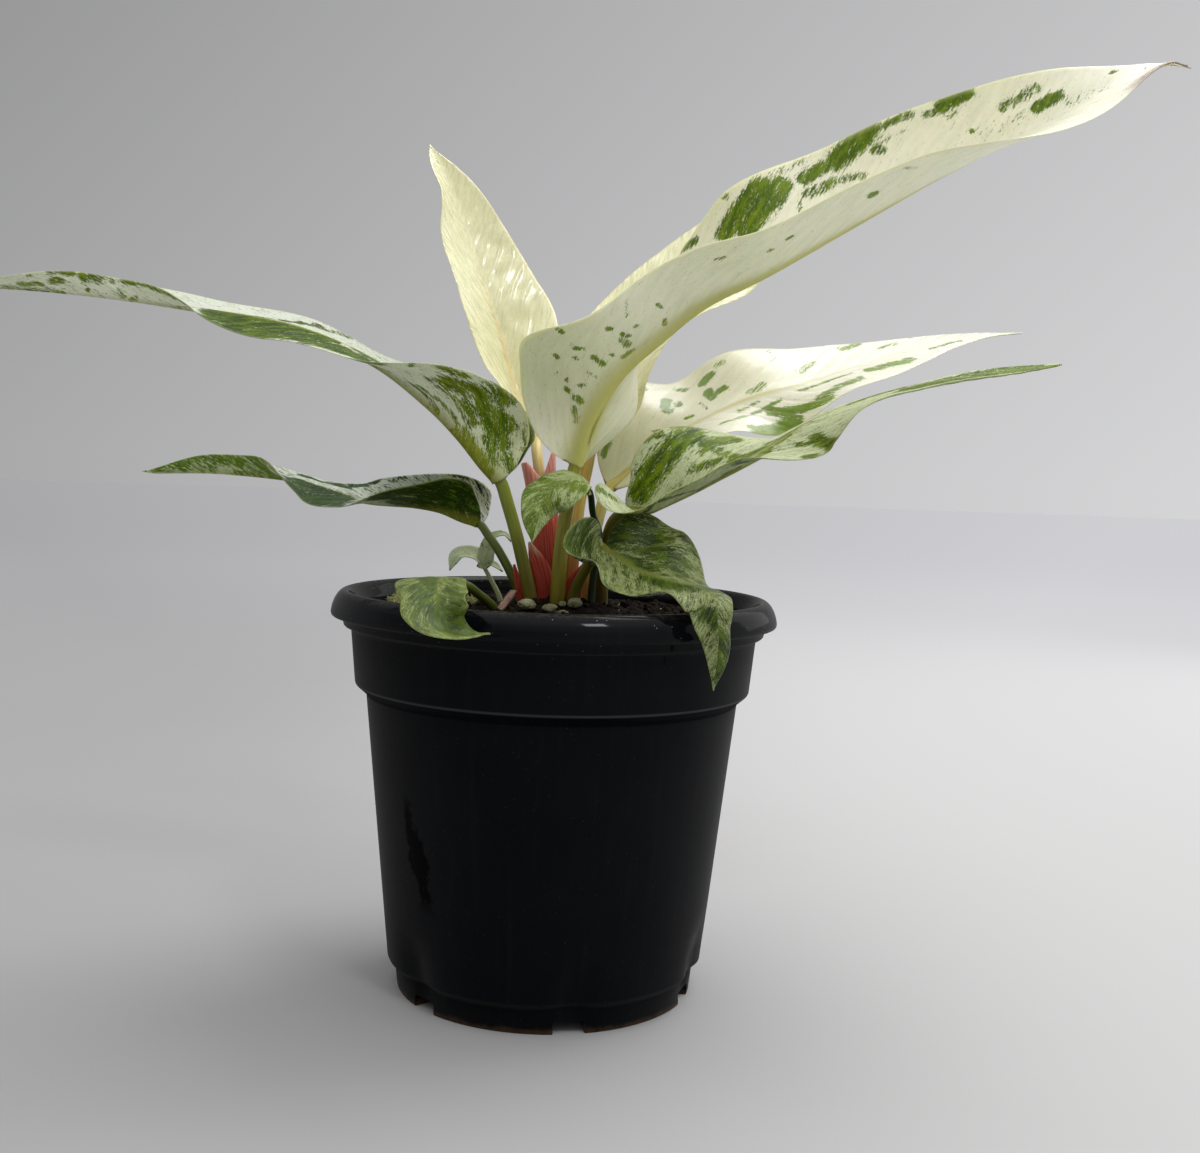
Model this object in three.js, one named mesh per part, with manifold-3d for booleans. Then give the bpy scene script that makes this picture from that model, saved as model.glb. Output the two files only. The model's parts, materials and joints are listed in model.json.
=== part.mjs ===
// A potted variegated anthurium: ten marbled leaves, red leaf sheaths and a seedling
// in a black nursery pot. Millimetres, +Z up, seen along +Y, with the pot's base at z = 0
// and its axis at x = 0, y = 0.
import * as THREE from 'three';
import { mergeVertices } from 'three/addons/utils/BufferGeometryUtils.js';
import Module from 'manifold-3d';

const wasm = await Module();
wasm.setup();

// Clearances
const GAP = 0.3;
const PETIOLE_GAP = 0.35;
const MERGE_DISTANCE = 1e-4;

// Pot, a 4.5 inch nursery pot. Radii are outer ones.
const POT_SEGMENTS = 36;
const WALL = 1.5;
const POT_FLOOR = 2;
const FOOT_RADIUS = 38.4;
const FOOT_TOP = [39.2, 6.5];
const BODY_FOOT = [41, 8];
const BODY_TOP = [48, 76.5];
const COLLAR_FOOT = [51, 79];
const COLLAR_TOP = [52.3, 94.2];
const BEAD = [54.2, 94.9];
const LIP_CENTRE = [54, 99.4];
const LIP_RADIUS = 3.5;
const LIP_FROM_DEG = -40;
const LIP_TO_DEG = 150;
const LIP_STEPS = 6;
const INSIDE_HEIGHTS = { mouth: 96.7, collarFoot: 79.8, bodyTop: 77.5, bodyFoot: 9 };
const DRAIN_COUNT = 6;
const DRAIN_FIRST_DEG = 10;
const DRAIN_WIDTH = 9;
const DRAIN_REACH = [29, 42];
const DRAIN_HEIGHT = 4.5;

// Potting mix, mounded round the crown
const MIX_EDGE_Z = 97.2;
const MOUND_RISE = 4.3;
const MOUND_SPREAD = 15;
const MOUND_CENTRE = [1, -2];
const MIX_RIPPLE = 0.4;
const RIPPLE_X = { turns: 0.31, start: 1 };
const RIPPLE_Y = { turns: 0.27, start: -0.5 };
const MIX_RINGS = 5;
const MIX_CROWDING = 1.2;

// Leaves. Rows crowd toward the base of a blade, and its width knots toward the tip.
const STEPS_PER_POINT = 24;
const ROW_CROWDING = 1.25;
const KNOT_CROWDING = 0.75;
const RIB_CROWDING = 1.2;
const BLADE_THICKNESS = 0.7;
const NARROWEST = 0.4;
const LOBE_REACH = 0.2;
const RIB_REACH = 0.75;
const RIB_END_RADIUS = 0.35;
const PETIOLE_STEPS = 5;
const RIB_STEPS = 5;
const TUBE_SIDES = 6;

// Sheaths
const SHEATH_THICKNESS = 0.8;
const SHEATH_ROWS = 7;
const SHEATH_COLUMNS = 2;
const SHEATH_LEAN = 5;

// Seedling
const SEEDLING_FOOT = [[-14.4, 6.5, 96], [-14.7, 6.5, 100.3], [-17.2, 6.5, 105.2], [-19, 6.5, 108.3]];
const SEEDLING_RADII = [0.7, 0.7, 0.6, 0.6];
const SEEDLING_ROWS = 5;
const SEEDLING_SHOULDER = 0.2;
const SEEDLING_CUP = 15;
const SEEDLING_LEAN = 15;
const SEEDLING_TAPER = [0.8, 1, 1, 0.7, 0];

// Wood chip
const CHIP_SIZE = [7, 2, 1.2];
const CHIP_TURNS_DEG = [35, -48, 40];
const CHIP_CENTRE = [-12.2, -14.2, 101.6];

// Colours
const CREAM = 0xe6e2b4;
const PALE_GREEN = 0xc9d29c;
const MARBLED_GREEN = 0x8aa35c;
const DEEP_GREEN = 0x6c8a48;
const SHEATH_RED = 0xc65a49;
const SHEATH_PINK = 0xe59a90;
const POT_BLACK = 0x16181a;
const MIX_BROWN = 0x231a14;
const STONE = 0xb9b29c;
const WOOD = 0xa58368;
const MOSS = 0x5f6a2c;
const LEAF_ROUGHNESS = 0.4;
const STONE_ROUGHNESS = 0.8;
const MOSS_ROUGHNESS = 0.9;
const MIX_ROUGHNESS = 0.95;
const POT_ROUGHNESS = 0.35;

const radians = THREE.MathUtils.degToRad;

// Vectors as plain arrays
const sum = (a, b) => a.map((value, k) => value + b[k]);
const difference = (a, b) => a.map((value, k) => value - b[k]);
const scaled = (a, factor) => a.map((value) => value * factor);
const dot = (a, b) => a.reduce((total, value, k) => total + value * b[k], 0);
const size = (a) => Math.hypot(...a);
const unit = (a) => scaled(a, 1 / size(a));
const cross = (a, b) => [
  a[1] * b[2] - a[2] * b[1],
  a[2] * b[0] - a[0] * b[2],
  a[0] * b[1] - a[1] * b[0],
];
const evenSteps = (count) => Array.from({ length: count + 1 }, (_, k) => k / count);

// Smooth curve through a list of points, u counted in points
function curveAt(list, u) {
  const i = Math.min(Math.floor(u), list.length - 2);
  const w = u - i;
  const p1 = list[i];
  const p2 = list[i + 1];
  const p0 = i > 0 ? list[i - 1] : difference(scaled(p1, 2), p2);
  const p3 = i + 2 < list.length ? list[i + 2] : difference(scaled(p2, 2), p1);
  return p1.map((value, k) => 0.5 * (2 * value + (p2[k] - p0[k]) * w
    + (2 * p0[k] - 5 * value + 4 * p2[k] - p3[k]) * w ** 2
    + (3 * value - p0[k] - 3 * p2[k] + p3[k]) * w ** 3));
}

// Value of a list of plain numbers spread evenly over 0 to 1
const valueAt = (list, s) => curveAt(list.map((value) => [value]), s * (list.length - 1))[0];

// Points of a path between two of its control points, at shares of the length between them
function pathPoints(path, first, last, shares) {
  const steps = STEPS_PER_POINT * (last - first);
  const dense = evenSteps(steps).map((share) => curveAt(path, first + (last - first) * share));
  const lengths = [0];
  for (let k = 1; k <= steps; k += 1) {
    lengths.push(lengths[k - 1] + size(difference(dense[k], dense[k - 1])));
  }
  return shares.map((share) => {
    const wanted = share * lengths[steps];
    let k = 1;
    while (k < steps && lengths[k] < wanted) k += 1;
    const w = (wanted - lengths[k - 1]) / (lengths[k] - lengths[k - 1]);
    return sum(dense[k - 1], scaled(difference(dense[k], dense[k - 1]), w));
  });
}

// Direction of a line of points at each of them
function directions(points) {
  return points.map((_, k) => unit(difference(
    points[Math.min(k + 1, points.length - 1)],
    points[Math.max(k - 1, 0)],
  )));
}

// Closed solid of a geometry, for joining and cutting
function solidOf(geometry) {
  const plain = geometry.clone();
  plain.deleteAttribute('normal');
  plain.deleteAttribute('uv');
  const merged = mergeVertices(plain, MERGE_DISTANCE);
  return new wasm.Manifold(new wasm.Mesh({
    numProp: 3,
    vertProperties: new Float32Array(merged.attributes.position.array),
    triVerts: new Uint32Array(merged.index.array),
  }));
}

function geometryOf(solid) {
  const mesh = solid.getMesh();
  const geometry = new THREE.BufferGeometry();
  geometry.setAttribute('position', new THREE.BufferAttribute(mesh.vertProperties.slice(), 3));
  geometry.setIndex(new THREE.BufferAttribute(mesh.triVerts.slice(), 1));
  geometry.computeVertexNormals();
  return geometry;
}

function solidFrom(points, triangles) {
  const geometry = new THREE.BufferGeometry();
  geometry.setAttribute('position', new THREE.Float32BufferAttribute(points.flat(), 3));
  geometry.setIndex(triangles.flat());
  return solidOf(geometry);
}

// Closed body through rings of points, each counter-clockwise seen from its far end,
// with a flat fan over the first and the last ring
function ringBody(rings) {
  const sides = rings[0].length;
  const points = rings.flat();
  const triangles = [];
  for (let i = 0; i + 1 < rings.length; i += 1) {
    for (let k = 0; k < sides; k += 1) {
      const a = i * sides + k;
      const b = i * sides + (k + 1) % sides;
      triangles.push([a, b, b + sides], [a, b + sides, a + sides]);
    }
  }
  const centre = (ring) => scaled(ring.reduce(sum), 1 / sides);
  const start = points.push(centre(rings[0])) - 1;
  const end = points.push(centre(rings[rings.length - 1])) - 1;
  const last = (rings.length - 1) * sides;
  for (let k = 0; k < sides; k += 1) {
    const next = (k + 1) % sides;
    triangles.push([start, next, k], [end, last + k, last + next]);
  }
  return solidFrom(points, triangles);
}

// Round tube along a line of points
function tube(points, radii, sides) {
  const along = directions(points);
  const spare = [0.3, 1, 0.2];
  let aside = unit(cross(along[0], spare));
  const rings = points.map((point, i) => {
    aside = unit(difference(aside, scaled(along[i], dot(aside, along[i]))));
    const other = cross(along[i], aside);
    return Array.from({ length: sides }, (_, k) => {
      const turn = 2 * Math.PI * k / sides;
      const spoke = sum(scaled(aside, Math.cos(turn)), scaled(other, Math.sin(turn)));
      return sum(point, scaled(spoke, radii[i]));
    });
  });
  return ringBody(rings);
}

// One row of points over half a blade, from the midrib outward. sign is 1 on the left, -1 on
// the right. The half leans by its angle, 0 level and positive raised, and cups toward its margin.
function halfRow(leaf, side, sign, columns, s, point, along) {
  const knot = s ** KNOT_CROWDING;
  const level = unit(cross(leaf.face, along));
  const up = cross(along, level);
  const shoulder = s < side.shoulder ? Math.sqrt(1 - (1 - s / side.shoulder) ** 2) : 1;
  const width = Math.max(valueAt(side.widths, knot) * shoulder, NARROWEST);
  const lean = radians(valueAt(side.angles, knot));
  const lobe = s < LOBE_REACH ? side.lobe * (1 - s / LOBE_REACH) : 0;
  const fullest = Math.max(...side.widths);
  let reached = point;
  return Array.from({ length: columns }, (_, j) => {
    const angle = lean + radians(side.cup) * (j + 0.5) / columns;
    const outward = sum(scaled(level, sign * Math.cos(angle)), scaled(up, Math.sin(angle)));
    reached = sum(reached, scaled(outward, width / columns));
    const back = lobe * (((j + 1) / columns) * width / fullest) ** 2;
    return difference(reached, scaled(along, back));
  });
}

// Grid of points over a blade, rows from base to tip and columns from left to right margin.
// Left and right are as seen from the petiole with the upper face on top.
function bladeGrid(leaf, rows, columns) {
  const shares = evenSteps(rows).map((step) => step ** ROW_CROWDING);
  const midrib = pathPoints(leaf.path, leaf.bladeFrom, leaf.path.length - 1, shares);
  const along = directions(midrib);
  return midrib.map((point, i) => [
    ...halfRow(leaf, leaf.left, 1, columns, shares[i], point, along[i]).reverse(),
    point,
    ...halfRow(leaf, leaf.right, -1, columns, shares[i], point, along[i]),
  ]);
}

// Closed sheet of even thickness over a grid, both faces split along the same diagonals
function sheet(grid, thickness) {
  const rows = grid.length;
  const columns = grid[0].length;
  const at = (i, j) => grid[THREE.MathUtils.clamp(i, 0, rows - 1)][THREE.MathUtils.clamp(j, 0, columns - 1)];
  const normals = grid.map((row, i) => row.map((_, j) => unit(cross(
    difference(at(i, j + 1), at(i, j - 1)),
    difference(at(i + 1, j), at(i - 1, j)),
  ))));
  const face = (side) => grid.flatMap((row, i) => row.map(
    (point, j) => sum(point, scaled(normals[i][j], side * thickness / 2)),
  ));
  const points = [...face(1), ...face(-1)];
  const top = (i, j) => i * columns + j;
  const under = (i, j) => rows * columns + top(i, j);
  const triangles = [];
  const quad = (a, b, c, d) => triangles.push([a, b, c], [a, c, d]);
  for (let i = 0; i + 1 < rows; i += 1) {
    for (let j = 0; j + 1 < columns; j += 1) {
      quad(top(i, j), top(i, j + 1), top(i + 1, j + 1), top(i + 1, j));
      triangles.push([under(i, j), under(i + 1, j + 1), under(i, j + 1)]);
      triangles.push([under(i, j), under(i + 1, j), under(i + 1, j + 1)]);
    }
    const end = columns - 1;
    quad(top(i, 0), top(i + 1, 0), under(i + 1, 0), under(i, 0));
    quad(top(i, end), under(i, end), under(i + 1, end), top(i + 1, end));
  }
  for (let j = 0; j + 1 < columns; j += 1) {
    const end = rows - 1;
    quad(top(0, j), under(0, j), under(0, j + 1), top(0, j + 1));
    quad(top(end, j), top(end, j + 1), under(end, j + 1), under(end, j));
  }
  return solidFrom(points, triangles);
}

// A path whose foot lies lower by the given depth
function withLowerFoot(path, depth) {
  const [[x, y, z], ...rest] = path;
  return [[x, y, z - depth], ...rest];
}

// Petiole as a line of points from its foot to the blade, with the radius at each
function petioleLine(leaf) {
  const [foot, neck] = leaf.petiole;
  const shares = evenSteps(PETIOLE_STEPS);
  return {
    points: pathPoints(leaf.path, 0, leaf.bladeFrom, shares),
    radii: shares.map((share) => foot + (neck - foot) * share),
  };
}

// Room that a petiole needs in what it passes through
function petioleRoom(leaf) {
  const { points, radii } = petioleLine(leaf);
  return tube(withLowerFoot(points, GAP), radii.map((radius) => radius + PETIOLE_GAP), TUBE_SIDES);
}

// Petiole and midrib in one tapering stalk, the midrib standing out under the blade
function stalk(leaf) {
  const { points, radii } = petioleLine(leaf);
  const neck = leaf.petiole[1];
  const ribShares = evenSteps(RIB_STEPS).slice(1).map((step) => RIB_REACH * step ** RIB_CROWDING);
  const rib = pathPoints(leaf.path, leaf.bladeFrom, leaf.path.length - 1, ribShares);
  const along = directions([points[points.length - 1], ...rib]).slice(1);
  rib.forEach((point, k) => {
    const radius = RIB_END_RADIUS + (neck - RIB_END_RADIUS) * (1 - ribShares[k] / RIB_REACH);
    const up = cross(along[k], unit(cross(leaf.face, along[k])));
    points.push(difference(point, scaled(up, radius / 2)));
    radii.push(radius);
  });
  return tube(points, radii, TUBE_SIDES);
}

function leafSolid(leaf) {
  return sheet(bladeGrid(leaf, leaf.rows, leaf.columns), BLADE_THICKNESS).add(stalk(leaf));
}

// Red leaf sheath standing round the petioles, without the room that those need
function sheathSolid(sheath, petioles) {
  const solid = sheet(bladeGrid(sheath, SHEATH_ROWS, SHEATH_COLUMNS), SHEATH_THICKNESS);
  return petioles.reduce((rest, leaf) => rest.subtract(petioleRoom(leaf)), solid);
}

// Slot that a sheath needs in the potting mix
function sheathRoom(sheath) {
  const wider = (half) => ({ ...half, widths: half.widths.map((width) => width + GAP) });
  const room = {
    ...sheath,
    path: withLowerFoot(sheath.path, 2 * GAP),
    left: wider(sheath.left),
    right: wider(sheath.right),
  };
  return sheet(bladeGrid(room, SHEATH_ROWS, SHEATH_COLUMNS), SHEATH_THICKNESS + 3 * GAP);
}

// Material and mesh
function paint(colour, roughness) {
  return new THREE.MeshStandardMaterial({ color: colour, roughness, metalness: 0 });
}

function piece(name, solid, material) {
  const mesh = new THREE.Mesh(geometryOf(solid), material);
  mesh.name = name;
  return mesh;
}

// Leaves. A path runs from the petiole's foot to the blade's tip, and bladeFrom is its point
// where the blade starts. Half-widths and angles are spread from base to tip.
function upperRightLeaf() {
  return {
    path: [[0.5, -6, 95], [0.5, -6.5, 102], [1, -8, 114.5], [2.5, -10, 127], [4, -12, 136],
      [7.5, -15, 147.5], [14, -18, 159], [23.5, -21, 168], [34, -23, 176.5], [48.5, -25, 184],
      [69.5, -27, 196.5], [89, -29, 208], [112, -33, 220], [133.5, -34, 232.5], [143, -34, 233.5]],
    bladeFrom: 4,
    face: [-0.5, 0.6, 0.6],
    petiole: [2, 1.7],
    left: {
      shoulder: 0.15, cup: 23, lobe: -6.5,
      widths: [16.5, 18.5, 20.5, 22.5, 24, 22, 17, 11, 0],
      angles: [10, -5, 25, 55, 100, 95, 110, 110, 30],
    },
    right: {
      shoulder: 0.14, cup: 0, lobe: -9,
      widths: [24.5, 26, 23, 19, 20.5, 19, 20, 14.5, 0],
      angles: [40, 60, 5, 5, -12, -15, -30, -55, -55],
    },
    rows: 19,
    columns: 3,
  };
}

function backLeaf() {
  return {
    path: [[-2, 1.5, 95], [-2, 1.5, 103], [-2.7, 1.5, 111], [-4.2, 2, 126.5], [-6, 5, 138.5],
      [-7, 9.5, 143], [-12.8, 16, 156], [-17, 18, 169.5], [-20.5, 18, 179], [-27, 20, 196],
      [-32.5, 21, 210], [-37.5, 21, 220]],
    bladeFrom: 5,
    face: [0.5, -0.8, 0.2],
    petiole: [1.7, 1.4],
    left: {
      shoulder: 0.17, cup: 0, lobe: 0,
      widths: [14, 14, 14.5, 15, 17, 16.5, 15, 12, 0],
      angles: [50, 50, 45, 35, 35, 35, 35, 50, 30],
    },
    right: {
      shoulder: 0.18, cup: 13, lobe: 0,
      widths: [14, 14, 15.5, 15, 16.5, 15, 12, 7.5, 0],
      angles: [95, 80, 65, 40, 15, 5, 5, 15, 20],
    },
    rows: 14,
    columns: 2,
  };
}

function behindLeaf() {
  return {
    path: [[3.5, 3, 95], [3.5, 3, 103], [4.2, 3, 112], [5.2, 3, 125], [7, 3, 135],
      [8.3, 4, 141.5], [13.1, 12, 154.5], [22, 20, 170.5], [34.5, 25, 186.5], [49, 30, 201],
      [64.5, 34, 213.5], [82, 37, 223.5]],
    bladeFrom: 5,
    face: [-0.5, 0.2, 0.8],
    petiole: [1.9, 1.6],
    left: {
      shoulder: 0.25, cup: 5, lobe: 0,
      widths: [5, 10, 15, 17, 16.5, 15.5, 12.5, 7.5, 0],
      angles: [40, 40, 50, 75, 70, 60, 60, 65, 65],
    },
    right: {
      shoulder: 0.15, cup: -9, lobe: 0,
      widths: [12, 13, 15, 16, 16.5, 16.5, 13.5, 9, 0],
      angles: [-35, -30, -15, -15, -30, -55, -55, -55, -60],
    },
    rows: 14,
    columns: 2,
  };
}

function rightMiddleLeaf() {
  return {
    path: [[8.6, 5, 95], [8.4, 5, 102], [8.2, 5.5, 109], [10, 6, 119], [11.8, 6, 127],
      [13.5, 7, 130.5], [21, 10, 137.5], [31.5, 14, 145.5], [49.5, 18, 155], [68.5, 21.5, 161],
      [81, 23.5, 165.5], [99.5, 25.5, 172], [114, 27.5, 175.5], [127.5, 29.5, 177]],
    bladeFrom: 5,
    face: [-0.2, 0, 1],
    petiole: [1.7, 1.5],
    left: {
      shoulder: 0.22, cup: 0, lobe: 2,
      widths: [16.5, 19.5, 23, 23.5, 21.5, 18, 14, 8.5, 0],
      angles: [90, 80, 60, 30, 40, 35, 25, 15, 5],
    },
    right: {
      shoulder: 0.16, cup: 0, lobe: 2,
      widths: [11.5, 14.5, 15, 15, 14, 15, 12, 5.5, 0],
      angles: [-15, -10, -15, -20, -55, -20, -25, -25, -15],
    },
    rows: 14,
    columns: 2,
  };
}

function rightLowerLeaf() {
  return {
    path: [[12, 0.5, 95], [12, 0.5, 102], [11.8, -1, 108.5], [12.4, -4, 116], [14, -7, 122],
      [17, -8.5, 124.5], [23, -11, 126], [33, -13.5, 131], [40, -14.5, 135], [53, -16.5, 142.5],
      [61.5, -16.5, 148.5], [73, -16.5, 154], [85.5, -16.5, 158], [97.5, -16.5, 160.5],
      [123.5, -16.5, 165]],
    bladeFrom: 5,
    face: [-0.2, 0, 1],
    petiole: [1.7, 1.4],
    left: {
      shoulder: 0.17, cup: 10, lobe: 5.5,
      widths: [14.5, 15, 18, 18, 15, 13, 10.5, 7, 0],
      angles: [90, 90, 70, 25, -5, -5, -5, 5, 15],
    },
    right: {
      shoulder: 0.06, cup: 20, lobe: 9,
      widths: [17.5, 17, 13.5, 9.5, 17, 17.5, 12.5, 9, 0],
      angles: [70, 0, 0, 0, -35, -15, -15, -15, -20],
    },
    rows: 16,
    columns: 3,
  };
}

function upperLeftLeaf() {
  return {
    path: [[-5.5, -5.2, 95], [-6.5, -5.5, 102.5], [-8.5, -6, 110.5], [-10.5, -6.5, 118], [-13, -7, 126],
      [-15, -7.5, 131.5], [-19, -8, 136], [-25, -9, 143], [-33, -10, 150.5], [-46.5, -10, 160],
      [-65.5, -11, 167.5], [-88.5, -12, 171], [-114, -12, 173.5], [-138.5, -12, 174.5],
      [-156, -12, 173]],
    bladeFrom: 5,
    face: [0.2, 0, 1],
    petiole: [1.7, 1.6],
    left: {
      shoulder: 0.13, cup: 14, lobe: 10,
      widths: [16, 17, 17.5, 16, 15, 9.5, 5.5, 8, 0],
      angles: [85, 90, 40, -10, -25, -30, 50, 15, -15],
    },
    right: {
      shoulder: 0.12, cup: 28, lobe: 10,
      widths: [19.5, 19, 19.5, 16.5, 14.5, 13, 13, 10, 0],
      angles: [70, 70, 25, -5, 0, 0, 10, 10, -15],
    },
    rows: 19,
    columns: 3,
  };
}

function lowerLeftLeaf() {
  return {
    path: [[-9, 0, 95], [-9.2, 0, 102], [-11.5, 0, 107], [-15, 1, 113], [-18, 2, 117],
      [-20.5, 3, 120], [-25, 4, 121.5], [-30.5, 5, 123.5], [-38, 6, 124.5], [-51, 8, 125],
      [-63, 9, 128], [-71, 9, 130], [-91.5, 10, 131], [-109.5, 10, 130.5]],
    bladeFrom: 5,
    face: [0.2, 0, 1],
    petiole: [1.3, 1.1],
    left: {
      shoulder: 0.15, cup: 6, lobe: 3,
      widths: [9.5, 12, 13, 13, 14.5, 10, 6, 4.5, 0],
      angles: [90, 70, 30, 10, -15, -20, 60, 80, 80],
    },
    right: {
      shoulder: 0.1, cup: 12, lobe: 5.5,
      widths: [12.5, 14, 9.5, 8, 10, 9.5, 8.5, 5.5, 0],
      angles: [10, 40, 70, 60, 15, 0, 20, 15, 10],
    },
    rows: 14,
    columns: 2,
  };
}

function frontRightLeaf() {
  return {
    path: [[4.1, -5.4, 95], [4.1, -6, 101.5], [5.8, -8, 106.5], [8, -12, 111], [9.5, -16, 114],
      [11, -19, 116], [19, -27, 111.5], [26, -36, 109.5], [33, -45, 108.5], [36, -51, 106.5],
      [36.5, -53, 102], [37, -52, 96], [36.5, -50, 86]],
    bladeFrom: 5,
    face: [0.5, -0.6, 0.7],
    petiole: [1.5, 1.2],
    left: {
      shoulder: 0.14, cup: 5, lobe: 8,
      widths: [11, 13, 14.5, 14.5, 11.5, 8, 4, 3.5, 0],
      angles: [80, 60, 40, 40, -5, -10, 5, 5, 50],
    },
    right: {
      shoulder: 0.07, cup: 48, lobe: 4.5,
      widths: [14, 16.5, 12.5, 14, 13, 9.5, 7, 3.5, 0],
      angles: [80, -10, -15, -35, -40, -35, -70, -80, -80],
    },
    rows: 15,
    columns: 2,
  };
}

function centreLeaf() {
  return {
    path: [[9.4, -4, 95], [9.2, -4, 103], [9.8, -5, 111], [10.6, -7.5, 118.5], [8.7, -12, 124],
      [7.6, -17, 129.5], [4.5, -21, 132.5], [0.5, -25, 131], [-3.5, -27, 127.5], [-5, -28, 122],
      [-6, -28, 117]],
    bladeFrom: 5,
    face: [-0.3, -0.5, 1],
    petiole: [1, 0.8],
    left: {
      shoulder: 0.18, cup: -11, lobe: 0,
      widths: [3.5, 4, 4.5, 6, 7.5, 7, 5, 2, 0],
      angles: [-50, -50, -20, -5, -5, -20, -50, -60, -55],
    },
    right: {
      shoulder: 0.17, cup: 25, lobe: 4,
      widths: [6.5, 6.5, 6.5, 6, 6.5, 6.5, 5, 3.5, 0],
      angles: [80, 30, 5, 0, 0, 0, 25, 30, 30],
    },
    rows: 9,
    columns: 2,
  };
}

function frontLeftLeaf() {
  return {
    path: [[-13.8, -11, 93.5], [-14.5, -12, 98], [-16.5, -15, 101], [-18.8, -20.5, 103.5],
      [-21, -27, 106], [-23.5, -34, 107.5], [-26, -42, 109], [-26.5, -52, 107.5],
      [-25, -62, 103], [-21, -63, 99], [-14, -60, 98.5]],
    bladeFrom: 5,
    face: [-0.2, -0.4, 1],
    petiole: [1.2, 1],
    left: {
      shoulder: 0.22, cup: 0, lobe: 0,
      widths: [4, 4, 5, 6, 6.5, 7, 6.5, 5.5, 0],
      angles: [75, 15, -10, -10, -10, 0, 25, 55, -60],
    },
    right: {
      shoulder: 0.17, cup: 0, lobe: 0,
      widths: [7.5, 8, 8, 9, 9.5, 8, 8, 5, 0],
      angles: [25, 5, 0, 5, 10, 10, 10, 20, 10],
    },
    rows: 11,
    columns: 2,
  };
}

// Sheaths. Each is a blade without a petiole, its two halves cupped round what it once wrapped.
function sheath(path, face, widths, leftCup, rightCup) {
  const angles = [SHEATH_LEAN, SHEATH_LEAN];
  const half = (cup) => ({ shoulder: 0, cup, lobe: 0, widths, angles });
  return { path, bladeFrom: 0, face, left: half(leftCup), right: half(rightCup) };
}

const TALL_SHEATH_WIDTHS = [3.8, 4, 4, 3.9, 3.6, 2.6, 0.5];

function tallLeftSheath() {
  const path = [[-5.2, 0.8, 98], [-5.4, 0.8, 104], [-6.4, 0.5, 115], [-8, 1.5, 128], [-9.7, 2, 136]];
  return sheath(path, [1, 0.1, 0.1], TALL_SHEATH_WIDTHS, 65, 65);
}

function tallRightSheath() {
  const path = [[1.4, 0.8, 98], [1.3, 0.8, 104], [0.6, 0.5, 115], [-0.8, 1.5, 128], [-1.6, 2, 139]];
  return sheath(path, [-1, 0.1, 0], TALL_SHEATH_WIDTHS, 65, 65);
}

function frontLeftSheath() {
  const path = [[-3, -4, 98], [-3.3, -4, 104], [-4.7, -4.2, 110], [-7.2, -4.2, 116]];
  return sheath(path, [0, 1, 0.1], [3, 3.1, 2.9, 2.2, 0.5], 5, 45);
}

function frontRightSheath() {
  const path = [[3.4, -2.6, 98], [4.2, -2.6, 103], [5.8, -2.6, 107.5], [8, -2.6, 111.5]];
  return sheath(path, [-0.3, 1, 0.1], [2.2, 2.4, 2.3, 1.6, 0.4], 30, 20);
}

function smallLeftSheath() {
  const path = [[-8, -2.6, 98], [-9.2, -2.5, 103], [-10.9, -2.4, 110]];
  return sheath(path, [0.3, 1, 0.1], [1.1, 1.2, 1.1, 0.9, 0.4], 20, 20);
}

// Seedling at the left of the crown: a stem, a bent leaf, and two small ones
function seedlingLeaf(path, width) {
  const half = {
    shoulder: SEEDLING_SHOULDER,
    cup: SEEDLING_CUP,
    lobe: 0,
    widths: SEEDLING_TAPER.map((share) => share * width),
    angles: [SEEDLING_LEAN, SEEDLING_LEAN],
  };
  return { path, bladeFrom: 0, face: [0, -0.5, 1], left: half, right: half };
}

function seedlingSolid() {
  const stem = tube(SEEDLING_FOOT, SEEDLING_RADII, TUBE_SIDES);
  const bent = seedlingLeaf(
    [[-19, 6.5, 108.2], [-20.3, 6.5, 110.2], [-23, 6, 111.3], [-26, 5, 111], [-28, 4, 107.5]],
    3.6,
  );
  const low = seedlingLeaf([[-18.9, 6.5, 108], [-17, 6, 109.2], [-14, 5.5, 107.6]], 1.4);
  const high = seedlingLeaf(
    [[-18.9, 6.5, 108], [-18.3, 6.8, 112], [-17, 7, 116], [-14, 6.5, 117.2], [-12, 6, 115.5]],
    2.4,
  );
  return [bent, low, high].reduce(
    (joined, leaf) => joined.add(sheet(bladeGrid(leaf, SEEDLING_ROWS, 1), BLADE_THICKNESS)),
    stem,
  );
}

// Pebbles, each a squashed ball: centre, half-lengths and turn about Z
function pebble(centre, halves, turn) {
  const shape = new THREE.IcosahedronGeometry(1, 1);
  return (extra) => solidOf(shape.clone()
    .scale(...halves.map((half) => half + extra))
    .rotateZ(radians(turn))
    .translate(...centre));
}

const pebbles = [
  pebble([-7, -15, 101], [2.4, 1.9, 1.4], 10),
  pebble([-1.3, -17, 100.1], [2.1, 1.7, 1.4], -10),
  pebble([1.7, -20.2, 99.3], [2, 1.5, 1], 0),
  pebble([4.9, -12.7, 101.4], [2.2, 1.3, 1.3], 35),
  pebble([1.8, -14.5, 101.3], [1, 0.9, 0.7], 0),
];

// Moss cushions and a wood chip, each made wider by extra for its seat in the mix
const mossLeft = pebble([-41.5, 12, 97.8], [2.8, 9.5, 2.2], 0);
const mossFront = pebble([-22, 6, 98.6], [3.2, 4, 1.6], 20);

function woodChip(extra) {
  const [aboutX, aboutY, aboutZ] = CHIP_TURNS_DEG.map(radians);
  return solidOf(new THREE.BoxGeometry(...CHIP_SIZE.map((length) => length + 2 * extra))
    .rotateX(aboutX)
    .rotateY(aboutY)
    .rotateZ(aboutZ)
    .translate(...CHIP_CENTRE));
}

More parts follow.
